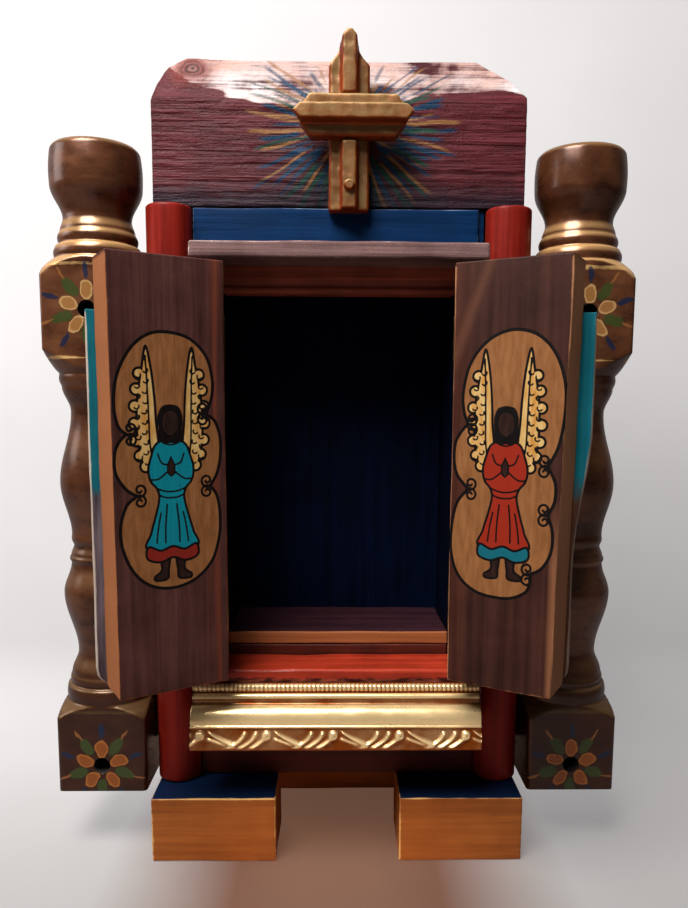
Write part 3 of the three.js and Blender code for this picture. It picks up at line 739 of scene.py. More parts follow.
def header_rings():
    """A side section for each x: up the front, back along the slant, over the top, and down. The
    grain stands up in long thin ridges, which are ripples stretched twenty times along x."""
    bottom, top = header_low[2], header_high[2]
    x = np.arange(header_low[0], header_high[0] + 0.01, 0.7)
    up = np.linspace(0, 1, 120)
    down = np.linspace(1, 0, 40)
    flat = np.linspace(0, 1, 10)[1:-1]
    peak = top + header_top(x)[:, None]
    face_z = bottom + (peak - bottom) * up
    slant = np.clip((face_z - (top - SLANT_DOWN)) / SLANT_DOWN, 0, None)
    face_y = header_low[1] + SLANT_BACK * slant
    top_y = face_y[:, -1:] + (header_high[1] - face_y[:, -1:]) * flat
    back_y = np.full((len(x), len(down)), header_high[1])
    under_y = header_high[1] + (header_low[1] - header_high[1]) * np.repeat(flat[None], len(x), 0)
    y = np.concatenate([face_y, top_y, back_y, under_y], 1)
    z = np.concatenate([face_z, np.repeat(peak, len(flat), 1), bottom + (peak - bottom) * down,
                        np.full((len(x), len(flat)), bottom)], 1)
    rings = np.stack([np.repeat(x[:, None], y.shape[1], 1), y, z], -1)
    drawn_out = rings * (0.05, 1, 1)
    ridges = 0.55 * ripple(drawn_out, 2.6, 41) + 0.35 * ripple(drawn_out * (3, 1, 1), 1.3, 42)
    swell = ripple(rings, 30, 43)
    knot = np.hypot(rings[..., 0] - header_low[0] - KNOT_IN, rings[..., 2] - top + KNOT_DOWN)
    knot_relief = 1.6 * np.exp(-((knot / 7) ** 2)) + 0.5 * np.sin(knot * 1.6) * np.exp(-knot / 9)
    on_face = rings[..., 1] < header_low[1] + 12
    depth = 0.34 * (ridges - 1) + 0.5 * (swell - 1) + knot_relief * on_face
    depth = np.minimum(depth, knot_relief * 0.3)
    # The relief moves points away from the board's long middle line.
    core = np.array([0, (header_low[1] + header_high[1]) / 2, (bottom + top) / 2])
    outward = np.clip((rings - core) / np.array([1e9, 11, 41]), -1, 1)
    rings = rings + outward * (depth * 0.9)[..., None] * (0, 1, 0.6)
    return capped(rings, (0, 0.4, 0.8, 0.97))


def ray_paint(points):
    """How much blue, green and gold lies at each point: every stroke is a thin bar that points
    away from the cross, fading at its ends."""
    rng = np.random.default_rng(7)
    x, z = points[..., 0] - CROSS_CENTRE[0], points[..., 2] - CROSS_CENTRE[1]
    laid = np.zeros(points.shape)
    for bearing in np.arange(-174, 176, 3.4):
        turn = np.radians(bearing + rng.uniform(-1.6, 1.6))
        start, length = rng.uniform(12, 28), rng.uniform(24, 40)
        if abs(bearing) < 45:
            length *= 0.4
        out = x * np.sin(turn) + z * np.cos(turn)
        aside = np.abs(x * np.cos(turn) - z * np.sin(turn) + 0.6 * np.sin(out / 6 + bearing))
        wide = rng.uniform(0.45, 1.15)
        inside = smooth_step(wide - aside, -0.25, 0.25) * smooth_step(out, start, start + 4)
        inside *= 1 - smooth_step(out, start + length - 6, start + length)
        kind = rng.choice(3, p=(0.46, 0.26, 0.28))
        laid *= 1 - inside[..., None]
        laid[..., kind] = np.maximum(laid[..., kind], inside)
    return laid


# The pale slant ends along a broken line and in a chip at the left end. Painted shadow lies under
# the cross, the knot's rings are dark, and rust lies round the knot.
rings = header_rings()
pale_line = np.interp(rings[..., 0], [-101, -93, -84, -61, -29, -8, 35, 60, 103],
                      [458, 441, 434.5, 424.5, 419.5, 418.5, 423, 427, 427])
pale = smooth_step(rings[..., 2] + 1.6 * ripple(rings * (0.3, 0, 1), 5, 44) - pale_line, -2.5, 3)
chip = 8 - 1.5 * np.abs(rings[..., 2] - 422) - 0.7 * (rings[..., 0] + 103)
pale = np.maximum(pale, 0.8 * smooth_step(chip + ripple(rings, 4, 45), 0, 2.5))
front = rings[..., 1] < header_low[1] + 14
aside, above = rings[..., 0] - CROSS_CENTRE[0], rings[..., 2] - CROSS_CENTRE[1]
from_knot = np.hypot(rings[..., 0] + 81, 1.3 * (rings[..., 2] - 443))
from_knot += 1.2 * ripple(rings, 7, 46)
shade = np.maximum(0.8 * np.exp(-(aside / 46) ** 2 - ((above + 26) / 25) ** 2),
                   (0.6 + 0.4 * np.cos(from_knot * 2.1)) * np.exp(-(from_knot / 7.5) ** 4))
rust = np.exp(-((from_knot - 5) / 7) ** 2)
header = skin("header_plank", rings, [
    ("wear", "FLOAT", pale * front), ("shade", "FLOAT", shade * front),
    ("rust", "FLOAT", rust * front), ("rays", "FLOAT_VECTOR", ray_paint(rings) * front[..., None])])
# Painted white glare lies in clouds on the bare slant, which is ruddy along its upper edge.
header_paint, tree, shader, coat, position = timber(
    "header_paint", "#602329", "#391114", "#cbb0a8", (14, 400, 400), gloss=0.4, worn=0.05,
    relief=1.5, sheen=0.12)
rays = laid_on(tree, "rays", "Vector")
height = axis_of(tree, position, "Z")
ruddy = times_plus(tree, speckle(tree, position, 60, 4), 0.02, height)
ruddy = times(tree, spread(tree, ruddy, 0.441, 0.454), coat["Wear"])
colour = mixed(tree, times(tree, ruddy, 0.45), coat["Colour"], paint("#a3644c"))
painted_glare = times(tree, spread(tree, speckle(tree, position, 45, 4), 0.42, 0.62), coat["Wear"])
painted_glare = times(tree, painted_glare, calc(tree, "SUBTRACT", 1, ruddy))
colour = mixed(tree, times(tree, painted_glare, 0.7), colour, paint("#dfe2e4"))
colour = mixed(tree, times(tree, laid_on(tree, "rust"), 0.9), colour, paint("#7a3024"))
# Painted shadow under the cross, and the knot's dark rings.
colour = mixed(tree, times(tree, laid_on(tree, "shade"), 0.92), colour, paint("#1a1218"))
brush = spread(tree, coat["Height"], 0.35, 0.6)
for axis, code in {"X": "#053049", "Y": "#0f3b30", "Z": "#805832"}.items():
    strength = times(tree, axis_of(tree, rays, axis), times_plus(tree, brush, 0.4, 0.6))
    colour = mixed(tree, strength, colour, paint(code))
# Along the foot of the board, under a ragged line, it darkens: partly dark paint, partly painted
# shade.
foot_paint_and_shade = times_plus(tree, speckle(tree, position, 90), 0.012, height)
foot_paint_and_shade = spread(tree, foot_paint_and_shade, 0.389, 0.378)
colour = mixed(tree, times(tree, foot_paint_and_shade, 0.75), colour, paint("#10141f"))
tree.links.new(colour, shader.inputs["Base Color"])
fit(header, header_paint, "maroon_paint", "box", "header_board")

# ---- cross -----------------------------------------------------------------------------------
# Two lengths of ridged strip and a small round button, in dull antique gold brushed on thickly
# enough to round the edges. The upright is nailed to the header, and the arm lies across it.


def softened(name, source, voxel, rough, seed):
    """A copy of a CAD node skinned again with even small faces, its edges rounded by smoothing and
    its faces left a little uneven. Wear is how far a point stands out from its neighbours."""
    made = in_scene(name, frame["nodes"][source].data.copy())
    weld = made.modifiers.new("weld", "WELD")
    weld.merge_threshold = 1e-5
    remesh = made.modifiers.new("remesh", "REMESH")
    remesh.mode, remesh.voxel_size, remesh.use_smooth_shade = "VOXEL", voxel * MM, True
    finished(made)
    mesh = made.data
    points = np.empty(len(mesh.vertices) * 3)
    mesh.vertices.foreach_get("co", points)
    points = points.reshape(-1, 3) / MM
    edges = np.empty(len(mesh.edges) * 2, int)
    mesh.edges.foreach_get("vertices", edges)
    first, second = edges.reshape(-1, 2).T
    count = np.bincount(np.append(first, second), minlength=len(points))[:, None]

    def neighbours(values):
        """The mean of each point's neighbours."""
        total = np.zeros_like(values)
        np.add.at(total, first, values[second])
        np.add.at(total, second, values[first])
        return total / count

    for _ in range(3):
        points = (points + neighbours(points)) / 2
    normals = np.empty(len(mesh.vertices) * 3)
    mesh.vertices.foreach_set("co", (points * MM).ravel())
    mesh.update()
    mesh.vertices.foreach_get("normal", normals)
    normals = normals.reshape(-1, 3)
    bulge = ((points - neighbours(points)) * normals).sum(-1)[:, None]
    for _ in range(2):
        bulge = (bulge + neighbours(bulge)) / 2
    points += normals * (rough * ripple(points, 5, seed))[:, None]
    points = np.clip(points, *same_place(source))
    mesh.vertices.foreach_set("co", (points * MM).ravel())
    layer = mesh.attributes.new("wear", "FLOAT", "POINT")
    layer.data.foreach_set("value", np.clip(bulge[:, 0] * 9, 0, 1).astype(np.float32))
    mesh.update()
    return made


cross_gold, tree, shader, coat, position = timber(
    "cross_gold", "#8c3c0a", "#6a2604", "#a88a5a", (120, 120, 30), gloss=0.4, worn=0.1, relief=0.3,
    metal=0.3)
for seed, (name, source, voxel) in enumerate((("upright_strip", "cross_upright", 0.6),
                                              ("arm_strip", "cross_arm", 0.6),
                                              ("arm_button", "cross_button", 0.3))):
    strip = softened(name, source, voxel, 0.16, 50 + seed)
    fit(strip, cross_gold, "gold_paint", "box", source)
# Faces that look up carry a painted highlight of pale gold, and the front ridges are rubbed paler;
# the slopes under them keep the orange-brown.
ridge = spread(tree, faces(tree, "Y"), -0.9, -0.99)
bright = calc(tree, "MAXIMUM", spread(tree, faces(tree, "Z"), 0.0, 0.4), times(tree, ridge, 0.5))
bright = times(tree, bright, spread(tree, faces(tree, "Z"), -0.35, -0.1))
scuffed = speckle(tree, stretched(tree, position, (160, 160, 260)), 1, 4)
bright = times_plus(tree, calc(tree, "SUBTRACT", scuffed, 0.5), 0.9, bright)
colour = mixed(tree, spread(tree, bright, 0.25, 0.9), coat["Colour"], paint("#9a7c4e"))
colour = mixed(tree, times(tree, ridge, 0.3), colour, paint("#5a583c"))
tree.links.new(colour, shader.inputs["Base Color"])

# ---- doors -----------------------------------------------------------------------------------
# Two thick planks of dark walnut on butt hinges, with a thin painted panel behind each. A winged
# figure stands in an ochre cartouche of three lobes on each inner face, outlined in black.

# Sizes are in a door's own place: out from its hinge, towards its inner face, and up.
HINGE_EDGE, PLANK_THICK = 3, 25
PLANK_BOTTOM, PLANK_TOP = 114.2, 329.8
PLANK_WIDTH = {"left": (57.6, 58.4), "right": (55.2, 59)}  # at the bottom and at the top
PANEL_START, PANEL_EDGE = 16, {"left": 65, "right": 67.6}
PANEL_OUTER, PANEL_INNER = -3.8, -0.3
PANEL_TOP, CUT_CORNER = 305, 7
OPEN_ANGLE = np.pi / 6
DRAWING_STEP = 0.52  # between points of a plank's painted face
hinge_at = {joint["child"]: np.array(joint["pos_m"]) / MM for joint in frame["joints"]}


def on_door(local, sign):
    """From a door's own place to the frame: the open door stands at 30 degrees to the front of
    the box."""
    out = np.array([sign * np.cos(OPEN_ANGLE), -np.sin(OPEN_ANGLE), 0])
    inward = np.array([-sign * np.sin(OPEN_ANGLE), -np.cos(OPEN_ANGLE), 0])
    pivot = hinge_at["left_door" if sign < 0 else "right_door"] * (1, 1, 0)
    return pivot + local[..., :1] * out + local[..., 1:2] * inward + local[..., 2:] * (0, 0, 1)


def path(points, closed=False, fill=8):
    """A smooth line through the given places (Catmull-Rom)."""
    points = np.array(points, float)
    ends = (points[-1:], points[:2]) if closed else (points[:1], points[-1:])
    around = np.concatenate([ends[0], points, ends[1]])
    a, b, c, d = (around[at:len(around) - 3 + at, None] for at in range(4))
    t = (np.arange(fill) / fill)[None, :, None]
    bend, twist = 2 * a - 5 * b + 4 * c - d, 3 * b - a - 3 * c + d
    curve = (0.5 * (2 * b + (c - a) * t + bend * t**2 + twist * t**3)).reshape(-1, 2)
    return np.concatenate([curve, curve[:1] if closed else points[-1:]])


def from_line(spots, line):
    """Distance of each spot from a line of straight pieces."""
    nearest = np.full(len(spots), 1e9)
    for start, end in zip(line[:-1], line[1:]):
        way = end - start
        part = np.clip((spots - start) @ way / max(way @ way, 1e-9), 0, 1)
        nearest = np.minimum(nearest, np.hypot(*(spots - start - part[:, None] * way).T))
    return nearest


def within(spots, line):
    """Distance inside a closed line, negative outside: the sign comes from how often a ray to the
    right crosses the line."""
    inside = np.zeros(len(spots), bool)
    for (x1, z1), (x2, z2) in zip(line[:-1], line[1:]):
        if z1 != z2:
            crosses = (z1 > spots[:, 1]) != (z2 > spots[:, 1])
            inside ^= crosses & (spots[:, 0] < (x2 - x1) * (spots[:, 1] - z1) / (z2 - z1) + x1)
    return np.where(inside, 1, -1) * from_line(spots, line)


def mirrored(points):
    """A half outline from top to bottom, closed by its mirror image."""
    points = list(points)
    return points + [(-x, z) for x, z in points[::-1]]


# Everything in the paintings is in millimetres from the middle line of the plank and from the
# ground. Each outline is drawn in arcs that meet in a point at the waists between its lobes.
OUTLINES = {
    "left": [
        [(-21.5, 244.5), (-25.5, 249), (-27, 260), (-25, 273), (-19, 284.5), (-11, 291.5),
         (-2, 293.5), (10, 291), (18.5, 283), (21.8, 272), (21.5, 263), (18.6, 254.5)],
        [(18.6, 254), (23, 250.5), (25.5, 243), (25.6, 233), (23.5, 224), (20, 218.5)],
        [(20, 218), (23.5, 213), (25, 203), (24.4, 192), (20.5, 180), (12, 171.5), (1, 168),
         (-10, 169.5), (-18.5, 176), (-24, 187), (-25.5, 199), (-22.5, 210), (-17.5, 214.5)],
        [(-17.5, 215), (-22.5, 218.5), (-27, 226), (-27.3, 235), (-25, 241), (-21.5, 244.5)]],
    "right": [
        [(-19.5, 249.6), (-22, 256), (-22.6, 266), (-19, 280), (-10, 291), (2, 295.6), (14, 293),
         (23, 284), (28, 270), (28.4, 255), (26, 240), (21.5, 230.5)],
        [(21.5, 229.5), (25, 222), (25, 213), (22, 206.5)],
        [(22, 206), (24.5, 198), (24, 188), (20, 180), (14.5, 176.5)],
        [(14.5, 175.5), (13, 168), (6, 163.5), (-3, 162.5), (-14, 164.5), (-23, 171.5),
         (-27.3, 183), (-27.5, 196), (-25, 209), (-19.5, 216.5)],
        [(-19.5, 217.5), (-25, 224), (-26.8, 232), (-26, 241), (-22, 247.5), (-19.5, 249.6)]],
}
WAISTS = {
    "left": [(-21.5, 244.5, 1), (18.6, 254.2, -1), (-17.5, 214.8, 1), (20, 218.2, -1)],
    "right": [(-19.5, 249.6, 1), (21.5, 230, -1), (-19.5, 217, 1), (22, 206.2, -1),
              (14.5, 176, -1)],
}
HAIR = path(mirrored([(0, 259), (4.2, 257.8), (6.2, 253), (5.9, 247), (6.8, 242),
                      (4.4, 240.4)]), True)
FACE = path(mirrored([(0, 255.6), (2.7, 254.2), (3.7, 250.2), (2.8, 246.2), (0, 244.2)]), True)
ROBE = path(mirrored([(0, 241.6), (3.4, 241.8), (7.6, 239.4), (9.8, 234), (11.4, 227.5),
                      (10.4, 221.8), (7.4, 218), (6.3, 213.5), (8, 205.5), (10.6, 196.5),
                      (12, 188)]), True)
HEM = path([(-12.2, 189.4), (-6, 187.2), (0, 189), (6, 187.2), (12.2, 189.4), (12.8, 183.6),
            (6.4, 181.4), (0, 183.4), (-6.4, 181.4), (-12.8, 183.6)], True)
HANDS = path(mirrored([(0, 233), (1.6, 229.5), (1.5, 225.4), (0, 224)]), True)
LEG = path([(1.9, 184), (6.2, 184), (5.8, 177.4), (9.4, 174.2), (8.6, 172.3), (3, 172.8),
            (2.4, 177)], True)
WING = path([(7, 225), (10.5, 226.5), (14, 231), (16, 240), (16.4, 252), (15.6, 264), (13.6, 275),
             (11.4, 286.5), (9, 276), (7.6, 262), (7, 250), (6, 238)], True)
WING_EDGE = path([(12.5, 229), (16, 236.5), (17.4, 247), (17.2, 258), (16, 268.5), (13.8, 277)])
WING_RIB = path([(8.6, 229), (10.2, 240), (10.6, 254), (11, 268), (11.6, 282)])
FOLDS = [[(10.2, 222.5), (6.5, 222.6), (2, 226)], [(6.6, 235), (4.8, 230.6), (1.9, 229.5)],
         [(0, 239.2), (2.6, 239.8), (5, 241)], [(0, 216.2), (3.4, 216.6), (7.2, 218)],
         [(0, 213.2), (3, 213.4), (6.3, 214.8)], [(2.4, 210), (3.4, 200), (3.6, 191)],
         [(5.6, 206), (7.2, 198), (8, 191)]]


def curl(x, z, way, up):
    """A spiral stroke that leaves a waist of the outline, turns inwards and back on itself: its
    radius falls from 3.4 mm to under 1 mm in one and a quarter turns."""
    aside, above = 1.8, 2.9
    turn = np.linspace(0, 2.5 * np.pi, 34)
    reach = np.hypot(aside, above) * (1 - 0.75 * turn / turn[-1])
    bearing = np.arctan2(-above, -aside) + turn
    return np.stack([x + way * (aside + reach * np.cos(bearing)),
                     z + up * (above + reach * np.sin(bearing))], 1)


def painting(spots, side):
    """Distances inside the ochre, the black line, the wings, the robe, the hem and the skin. The
    figure is the same on both sides of its middle, so its parts are drawn once and read twice."""
    half = np.stack([np.abs(spots[:, 0]), spots[:, 1]], 1)
    arcs = [path(arc) for arc in OUTLINES[side]]
    ochre = within(spots, np.concatenate(arcs + [arcs[0][:1]]))
    stroke = 0.8 - np.abs(ochre)
    for x, z, way in WAISTS[side]:
        for up in (-1, 1):
            stroke = np.maximum(stroke, 0.6 - from_line(spots, curl(x, z, way, up)))
    outside = -3.0
    drawn = ochre > outside
    feathered, face, hair, robe, hem, hands, legs, marks = (
        np.full(len(spots), outside) for _ in range(8))
    for values, line in ((feathered, WING), (face, FACE), (hair, HAIR), (robe, ROBE), (hem, HEM),
                         (hands, HANDS), (legs, LEG)):
        values[drawn] = within(spots[drawn] if line is HEM else half[drawn], line)
    for x, z in WING_EDGE[::6]:
        feathered = np.maximum(feathered, 2.7 - np.hypot(half[:, 0] - x, half[:, 1] - z))
    bow = np.radians(np.linspace(150, 330, 7))
    for row, z in enumerate(np.arange(231, 277, 4.9)):
        for x in (12.6, 16.2):
            x = x - 0.05 * abs(z - 250) + 0.4 * (row % 2)
            arc = np.stack([x + 1.25 * np.cos(bow), z + (x > 14) * 2.4 + 1.25 * np.sin(bow)], 1)
            marks[drawn] = np.maximum(marks[drawn], 0.42 - from_line(half[drawn], arc))
    marks[drawn] = np.maximum(marks[drawn], 0.45 - from_line(half[drawn], WING_RIB))
    cover = np.max([robe, hem, hair, legs], 0)
    wings = np.where(cover > 0, -1, feathered)
    stroke = np.maximum(stroke, np.where(cover > 0, -1, 0.62 - np.abs(feathered)))
    stroke = np.maximum(stroke, np.where(wings > 0, marks, -1))
    stroke = np.maximum(stroke, np.where(hem > 0, -1, 0.6 - np.abs(np.maximum(robe, legs))))
    stroke = np.maximum(stroke, 0.6 - np.abs(hem))
    dressed = robe > 0
    for fold in FOLDS:
        line = np.full(len(spots), -1.0)
        line[dressed] = 0.45 - from_line(half[dressed], path(fold))
        stroke = np.maximum(stroke, line)
    stroke = np.maximum(stroke, np.minimum(hair, -face))
    stroke = np.maximum(stroke, 0.4 - np.abs(hands))
    flesh = np.max([face, hands, np.where(hem > 0, -1, legs)], 0)
    robe = np.minimum(robe, -np.maximum(hem, hands))
    return np.clip(np.stack([ochre, stroke, wings, robe, hem, flesh], -1), -2, 2)


# Full, thin and worn-edge colours for each plank. The right plank's worn-edge colour is paler, as
# painted light on its outer end.
WALNUT_STAIN = {"left": ("#583530", "#351b16", "#8f5632"),
                "right": ("#42241c", "#27120d", "#a87450")}


def walnut(name, side):
    """Dark purple-brown timber with the painting's colours laid over it by their areas."""
    material, tree, shader, coat, position = timber(
        name, *WALNUT_STAIN[side], (240, 240, 7), gloss=0.55, worn=0.36, relief=0.4, sheen=0.12)
    streaks = stretched(tree, position, (240, 240, 7))
    areas = {}
    for label, parts in {"ground": ("ochre", "line", "wing"),
                         "figure": ("robe", "hem", "skin")}.items():
        for axis, part in zip("XYZ", parts):
            inside = axis_of(tree, laid_on(tree, label, "Vector"), axis)
            areas[part] = spread(tree, inside, -0.1, 0.1)
    bands = stretched(tree, position, (420, 420, 90))
    bands = spread(tree, speckle(tree, bands, 1, 3), 0.3, 0.7)
    robe, hem = ("#057684", "#7a2015") if side == "left" else ("#8a2412", "#0d5a66")
    paints = {
        "ochre": ("#744826", "#8c5c36"), "wing": ("#b47a34", "#c8aa70"),
        "skin": ("#1d0f0c", "#2e1a15"), "robe": (robe, robe), "hem": (hem, hem),
        "line": ("#0a0505", "#0d0707")}
    # A strip of red heartwood runs down beside the hinge. The right plank also has a slanting
    # paler streak from its top and sapwood at its outer lower edge.
    near_hinge = laid_on(tree, "hinge_side")
    heart = times_plus(tree, speckle(tree, streaks, 0.6, 2), 0.3, near_hinge)
    heart = times(tree, spread(tree, heart, 0.98, 1.05), spread(tree, heart, 1.13, 1.08))
    heart = times(tree, heart, 0.5 if side == "left" else 0.1)
    colour = mixed(tree, heart, coat["Colour"], paint("#7a3a24"))
    if side == "right":
        height, lean = axis_of(tree, position, "Z"), 6.5
        slant = times_plus(tree, height, lean, near_hinge)
        slant = calc(tree, "SUBTRACT", slant, lean * PLANK_TOP * MM + 0.68)
        slant = calc(tree, "ABSOLUTE", slant)
        slant = times_plus(tree, speckle(tree, streaks, 1, 3), 0.1, slant)
        pale = times(tree, spread(tree, slant, 0.12, 0.06), 0.17)
        sap = times_plus(tree, speckle(tree, streaks, 0.6, 2), 0.12, near_hinge)
        sap = times(tree, spread(tree, sap, 0.2, 0.15), spread(tree, height, 0.215, 0.18))
        pale = calc(tree, "MAXIMUM", pale, times(tree, sap, 0.7))
        colour = mixed(tree, pale, colour, paint("#8a5a3c"))
    for part, (thin, full) in paints.items():
        shade = mixed(tree, bands, paint(thin), paint(full))
        colour = mixed(tree, areas[part], colour, shade)
    tree.links.new(colour, shader.inputs["Base Color"])
    return material


def door_piece(side, low, high, steps, fine, width, radius):
    """A board on a door, whose `width` at each height is a function. Returns its rings in the
    door's own place and in the frame, and its wear: most on the outer end, least at the top."""
    rings, out = board_rings(low, high, 2, radius, steps, fine)
    wear = edge_wear(rings, low, high) + 1.2 * smooth_step(out[..., 0], 0.6, 0.9)
    wear = wear * (1 - 0.75 * smooth_step(rings[..., 2], high[2] - 2.5, high[2] - 0.5))
    uneven = np.clip(1 + ripple(rings, 22, 61), 0, None)
    rings = rings - out * (0.16 * uneven * (0.4 + wear))[..., None]
    rings[..., 0] = low[0] + (rings[..., 0] - low[0]) * width(rings[..., 2]) / (high[0] - low[0])
    return rings, on_door(rings, -1 if side == "left" else 1), wear


# The height down to which each panel is teal, how worn it is, and the wood below: its dark and
# light, and the colour of its worn edge.
PANEL_FINISH = {
    "left": (214, 0.3, "#33222a", "#746a70", "#a8988a"),
    "right": (217, 0.15, "#38211a", "#5e3c2a", "#8a7464"),
}


def panel_paint(name, side):
    """Teal over brown, ending in a ragged line above blotched bare wood."""
    limit, worn, dark, light, edge = PANEL_FINISH[side]
    material, tree, shader, coat, position = timber(
        name, "#127382", "#0b5560", "#b0a090", ALONG_Z, gloss=0.4, worn=worn)
    ragged = times_plus(tree, speckle(tree, position, 120), 0.02, axis_of(tree, position, "Z"))
    lower = spread(tree, ragged, (limit + 16) * MM, (limit + 5) * MM)
    blotch = speckle(tree, stretched(tree, position, (110, 110, 12)), 1, 5, 0.6)
    bare = mixed(tree, spread(tree, blotch, 0.4, 0.66), paint(dark), paint(light))
    bare = mixed(tree, coat["Wear"], bare, paint(edge))
    tree.links.new(mixed(tree, lower, coat["Colour"], bare), shader.inputs["Base Color"])
    return material


def panel_width(side):
    """Width of an outer panel at each height: its lower corner is cut round, and the right one is
    drawn in towards its foot."""
    drawn_in = 7.4 if side == "right" else 0

    def width(z):
        cut = np.clip(CUT_CORNER - (z - PLANK_BOTTOM), 0, CUT_CORNER) ** 2 / CUT_CORNER
        return PANEL_EDGE[side] - PANEL_START - cut - drawn_in * smooth_step(-z, -252, -176)

    return width


for side in ("left", "right"):
    body = f"{side}_door"
    bottom_wide, top_wide = PLANK_WIDTH[side]
    low = (HINGE_EDGE, 0, PLANK_BOTTOM)
    high = (HINGE_EDGE + top_wide, PLANK_THICK, PLANK_TOP)
    rings, placed, wear = door_piece(
        side, low, high, (4, 4, 0.56), DRAWING_STEP,
        lambda z: np.interp(z, [PLANK_BOTTOM, PLANK_TOP], [bottom_wide, top_wide]), 0.9)
    middle = HINGE_EDGE + (bottom_wide + top_wide) / 4
    across = (rings[..., 0] - middle) * (-1 if side == "left" else 1)
    inner = rings[..., 1] > PLANK_THICK - 1.5
    near = np.full(rings.shape[:2] + (6,), -2.0)
    near[inner] = painting(np.stack([across, rings[..., 2]], -1)[inner], side)
    hinge_side = 1 - (rings[..., 0] - HINGE_EDGE) / top_wide
    plank = skin(f"painted_plank_{side}", placed, [
        ("wear", "FLOAT", wear), ("hinge_side", "FLOAT", hinge_side),
        ("ground", "FLOAT_VECTOR", near[..., :3]), ("figure", "FLOAT_VECTOR", near[..., 3:])])
    fit(plank, walnut(f"walnut_{side}", side), "walnut", body, f"door_plank_{side}")
    low = (PANEL_START, PANEL_OUTER, PLANK_BOTTOM)
    high = (PANEL_EDGE[side], PANEL_INNER, PANEL_TOP)
    _, placed, wear = door_piece(side, low, high, (5, 2, 5), None, panel_width(side), 0.5)
    panel = skin(f"outer_panel_{side}", placed, [("wear", "FLOAT", wear)])
    fit(panel, panel_paint(f"panel_paint_{side}", side), "teal_paint", body, f"door_panel_{side}")

hinge_brass = timber("hinge_brass", "#6d5426", "#3d2d14", "#b3924c", (300, 300, 300), gloss=0.35,
                     metal=0.9, relief=0.05)[0]
for name, cad in frame["nodes"].items():
    if name.startswith("hinge_"):
        coated(cad, hinge_brass)

# ---- room ------------------------------------------------------------------------------------
# A pale paper sweep close behind, one large soft light above and in front to the left, and a weak
# even light from all round.

WALL_Y, SWEEP_RADIUS = 0.2, 0.06
turn = np.radians(np.linspace(0, 90, 13))
bend_y, bend_z = SWEEP_RADIUS * (np.sin(turn) - 1), SWEEP_RADIUS * (1 - np.cos(turn))
sweep_y = np.concatenate([[-4, -1.2, -0.3, 0], WALL_Y + bend_y, [WALL_Y, WALL_Y]])
sweep_z = np.concatenate([[0, 0, 0, 0], bend_z, [0.5, 4]])
sweep_x, sweep_y = np.meshgrid(np.linspace(-5, 5, 9), sweep_y, indexing="ij")
grid = np.stack([sweep_x, sweep_y, np.broadcast_to(sweep_z, sweep_x.shape)], -1)
index = np.arange(sweep_x.size).reshape(sweep_x.shape)
corners = [index[:-1, :-1], index[1:, :-1], index[1:, 1:], index[:-1, 1:]]
quads = np.stack(corners, -1).reshape(-1, 4)
mesh = bpy.data.meshes.new("paper_sweep")
mesh.from_pydata(grid.reshape(-1, 3), [], quads.tolist())
mesh.polygons.foreach_set("use_smooth", [True] * len(quads))
paper = in_scene("paper_sweep", mesh)
paper_white, tree, shader, position = new_material("paper_white")
# The paper lights the object only weakly, and seen from its back it lets the object show. What the
# camera sees of it is partly its own glow, painted light that falls off to the right, downwards and
# towards the front and is broken by a creased pattern: it keeps the shadows soft and pale. A
# painted warm brown shadow lies in front of the feet and between them, darker under each foot, and
# the light that the paper throws on the object is warmer there.
seen = node(tree, "LightPath", {}).outputs["Is Camera Ray"]
spot = node(tree, "SeparateXYZ", {0: position}).outputs
aside = calc(tree, "ABSOLUTE", spot["X"])
painted_feet_shadow = times(tree, spread(tree, aside, 0.13, 0.055), spread(tree, spot["Y"], 0.2, 0.12))
painted_feet_shadow = times(tree, painted_feet_shadow, spread(tree, spot["Y"], -0.19, -0.07))
lobe = spread(tree, calc(tree, "ABSOLUTE", calc(tree, "SUBTRACT", aside, 0.06)), 0.04, 0.005)
lobe = calc(tree, "MAXIMUM", lobe, spread(tree, spot["Y"], 0.0, 0.05))
own = mixed(tree, lobe, (0.09, 0.048, 0.033, 1), (0.09, 0.042, 0.028, 1))
own = mixed(tree, painted_feet_shadow, paint("#787572"), own)
unseen = mixed(tree, painted_feet_shadow, paint("#8a8381"), paint("#b88a70"))
tree.links.new(mixed(tree, seen, unseen, own), shader.inputs["Base Color"])
fall = calc(tree, "ADD", spread(tree, spot["X"], -0.3, 0.3, 0.58, 0.31),
            spread(tree, spot["Z"], 0.05, 0.45, 0, 0.2))
fall = times(tree, fall, spread(tree, spot["Y"], -0.09, 0.12, 0.55, 1))
crease = speckle(tree, stretched(tree, position, (7, 7, 9)), 1, 5, 0.45)
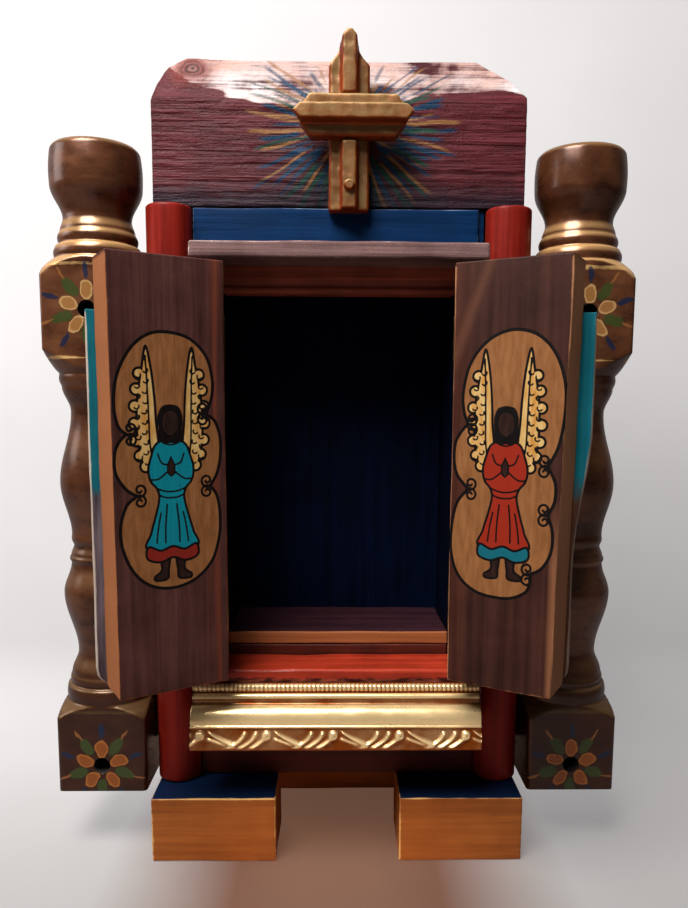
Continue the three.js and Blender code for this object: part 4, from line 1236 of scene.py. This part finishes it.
crease = times_plus(tree, crease, 0.2, 0.9)
fall = times(tree, times(tree, fall, crease), seen)
glow = mixed(tree, lobe, (0.45, 0.215, 0.13, 1), (0.33, 0.17, 0.11, 1))
glow = mixed(tree, painted_feet_shadow, (1.0, 0.97, 0.98, 1), glow)
tree.links.new(glow, shader.inputs["Emission Color"])
tree.links.new(fall, shader.inputs["Emission Strength"])
shader.inputs["Roughness"].default_value = 0.9
shader.inputs["Specular IOR Level"].default_value = 0.1
clear = node(tree, "BsdfTransparent", {}).outputs[0]
behind = node(tree, "NewGeometry", {}).outputs["Backfacing"]
both = node(tree, "MixShader", {0: behind, 1: shader.outputs[0], 2: clear})
tree.links.new(both.outputs[0], tree.nodes["Material Output"].inputs["Surface"])
mesh.materials.append(paper_white)


def soft_light(name, size, power, place, aim):
    """A square soft light that looks from one place to another."""
    lamp = bpy.data.lights.new(name, "AREA")
    lamp.size, lamp.energy = size, power
    made = in_scene(name, lamp)
    made.location = place
    made.rotation_euler = (Vector(aim) - Vector(place)).to_track_quat("-Z", "Y").to_euler()


soft_light("window", 0.6, 26, (-0.33, -0.5, 1.16), (0, 0, 0.25))
soft_light("side_window", 0.5, 3, (-1.1, -0.05, 0.7), (0, 0.1, 0.3))
world = bpy.data.worlds.new("room")
world.use_nodes = True
tree = world.node_tree
seen = node(tree, "LightPath", {}).outputs["Is Camera Ray"]
room_light = mixed(tree, seen, (0.07, 0.07, 0.07, 1), (0.75, 0.75, 0.76, 1))
tree.links.new(room_light, tree.nodes["Background"].inputs[0])
bpy.context.scene.world = world
bpy.context.scene.view_settings.view_transform = "Standard"

# The camera stands in front of the niche, a little above its middle, with a wide lens.
lens = bpy.data.cameras.new("camera")
camera = in_scene("camera", lens)
camera.location = (-0.00186, -0.43555, 0.25841)
camera.rotation_euler = tuple(np.radians((83.24, -0.288, -0.936)))
lens.lens, lens.sensor_width, lens.clip_start = 30.36, 36, 0.01
lens.shift_x, lens.shift_y = -0.0046, 0.0474
bpy.context.scene.camera = camera
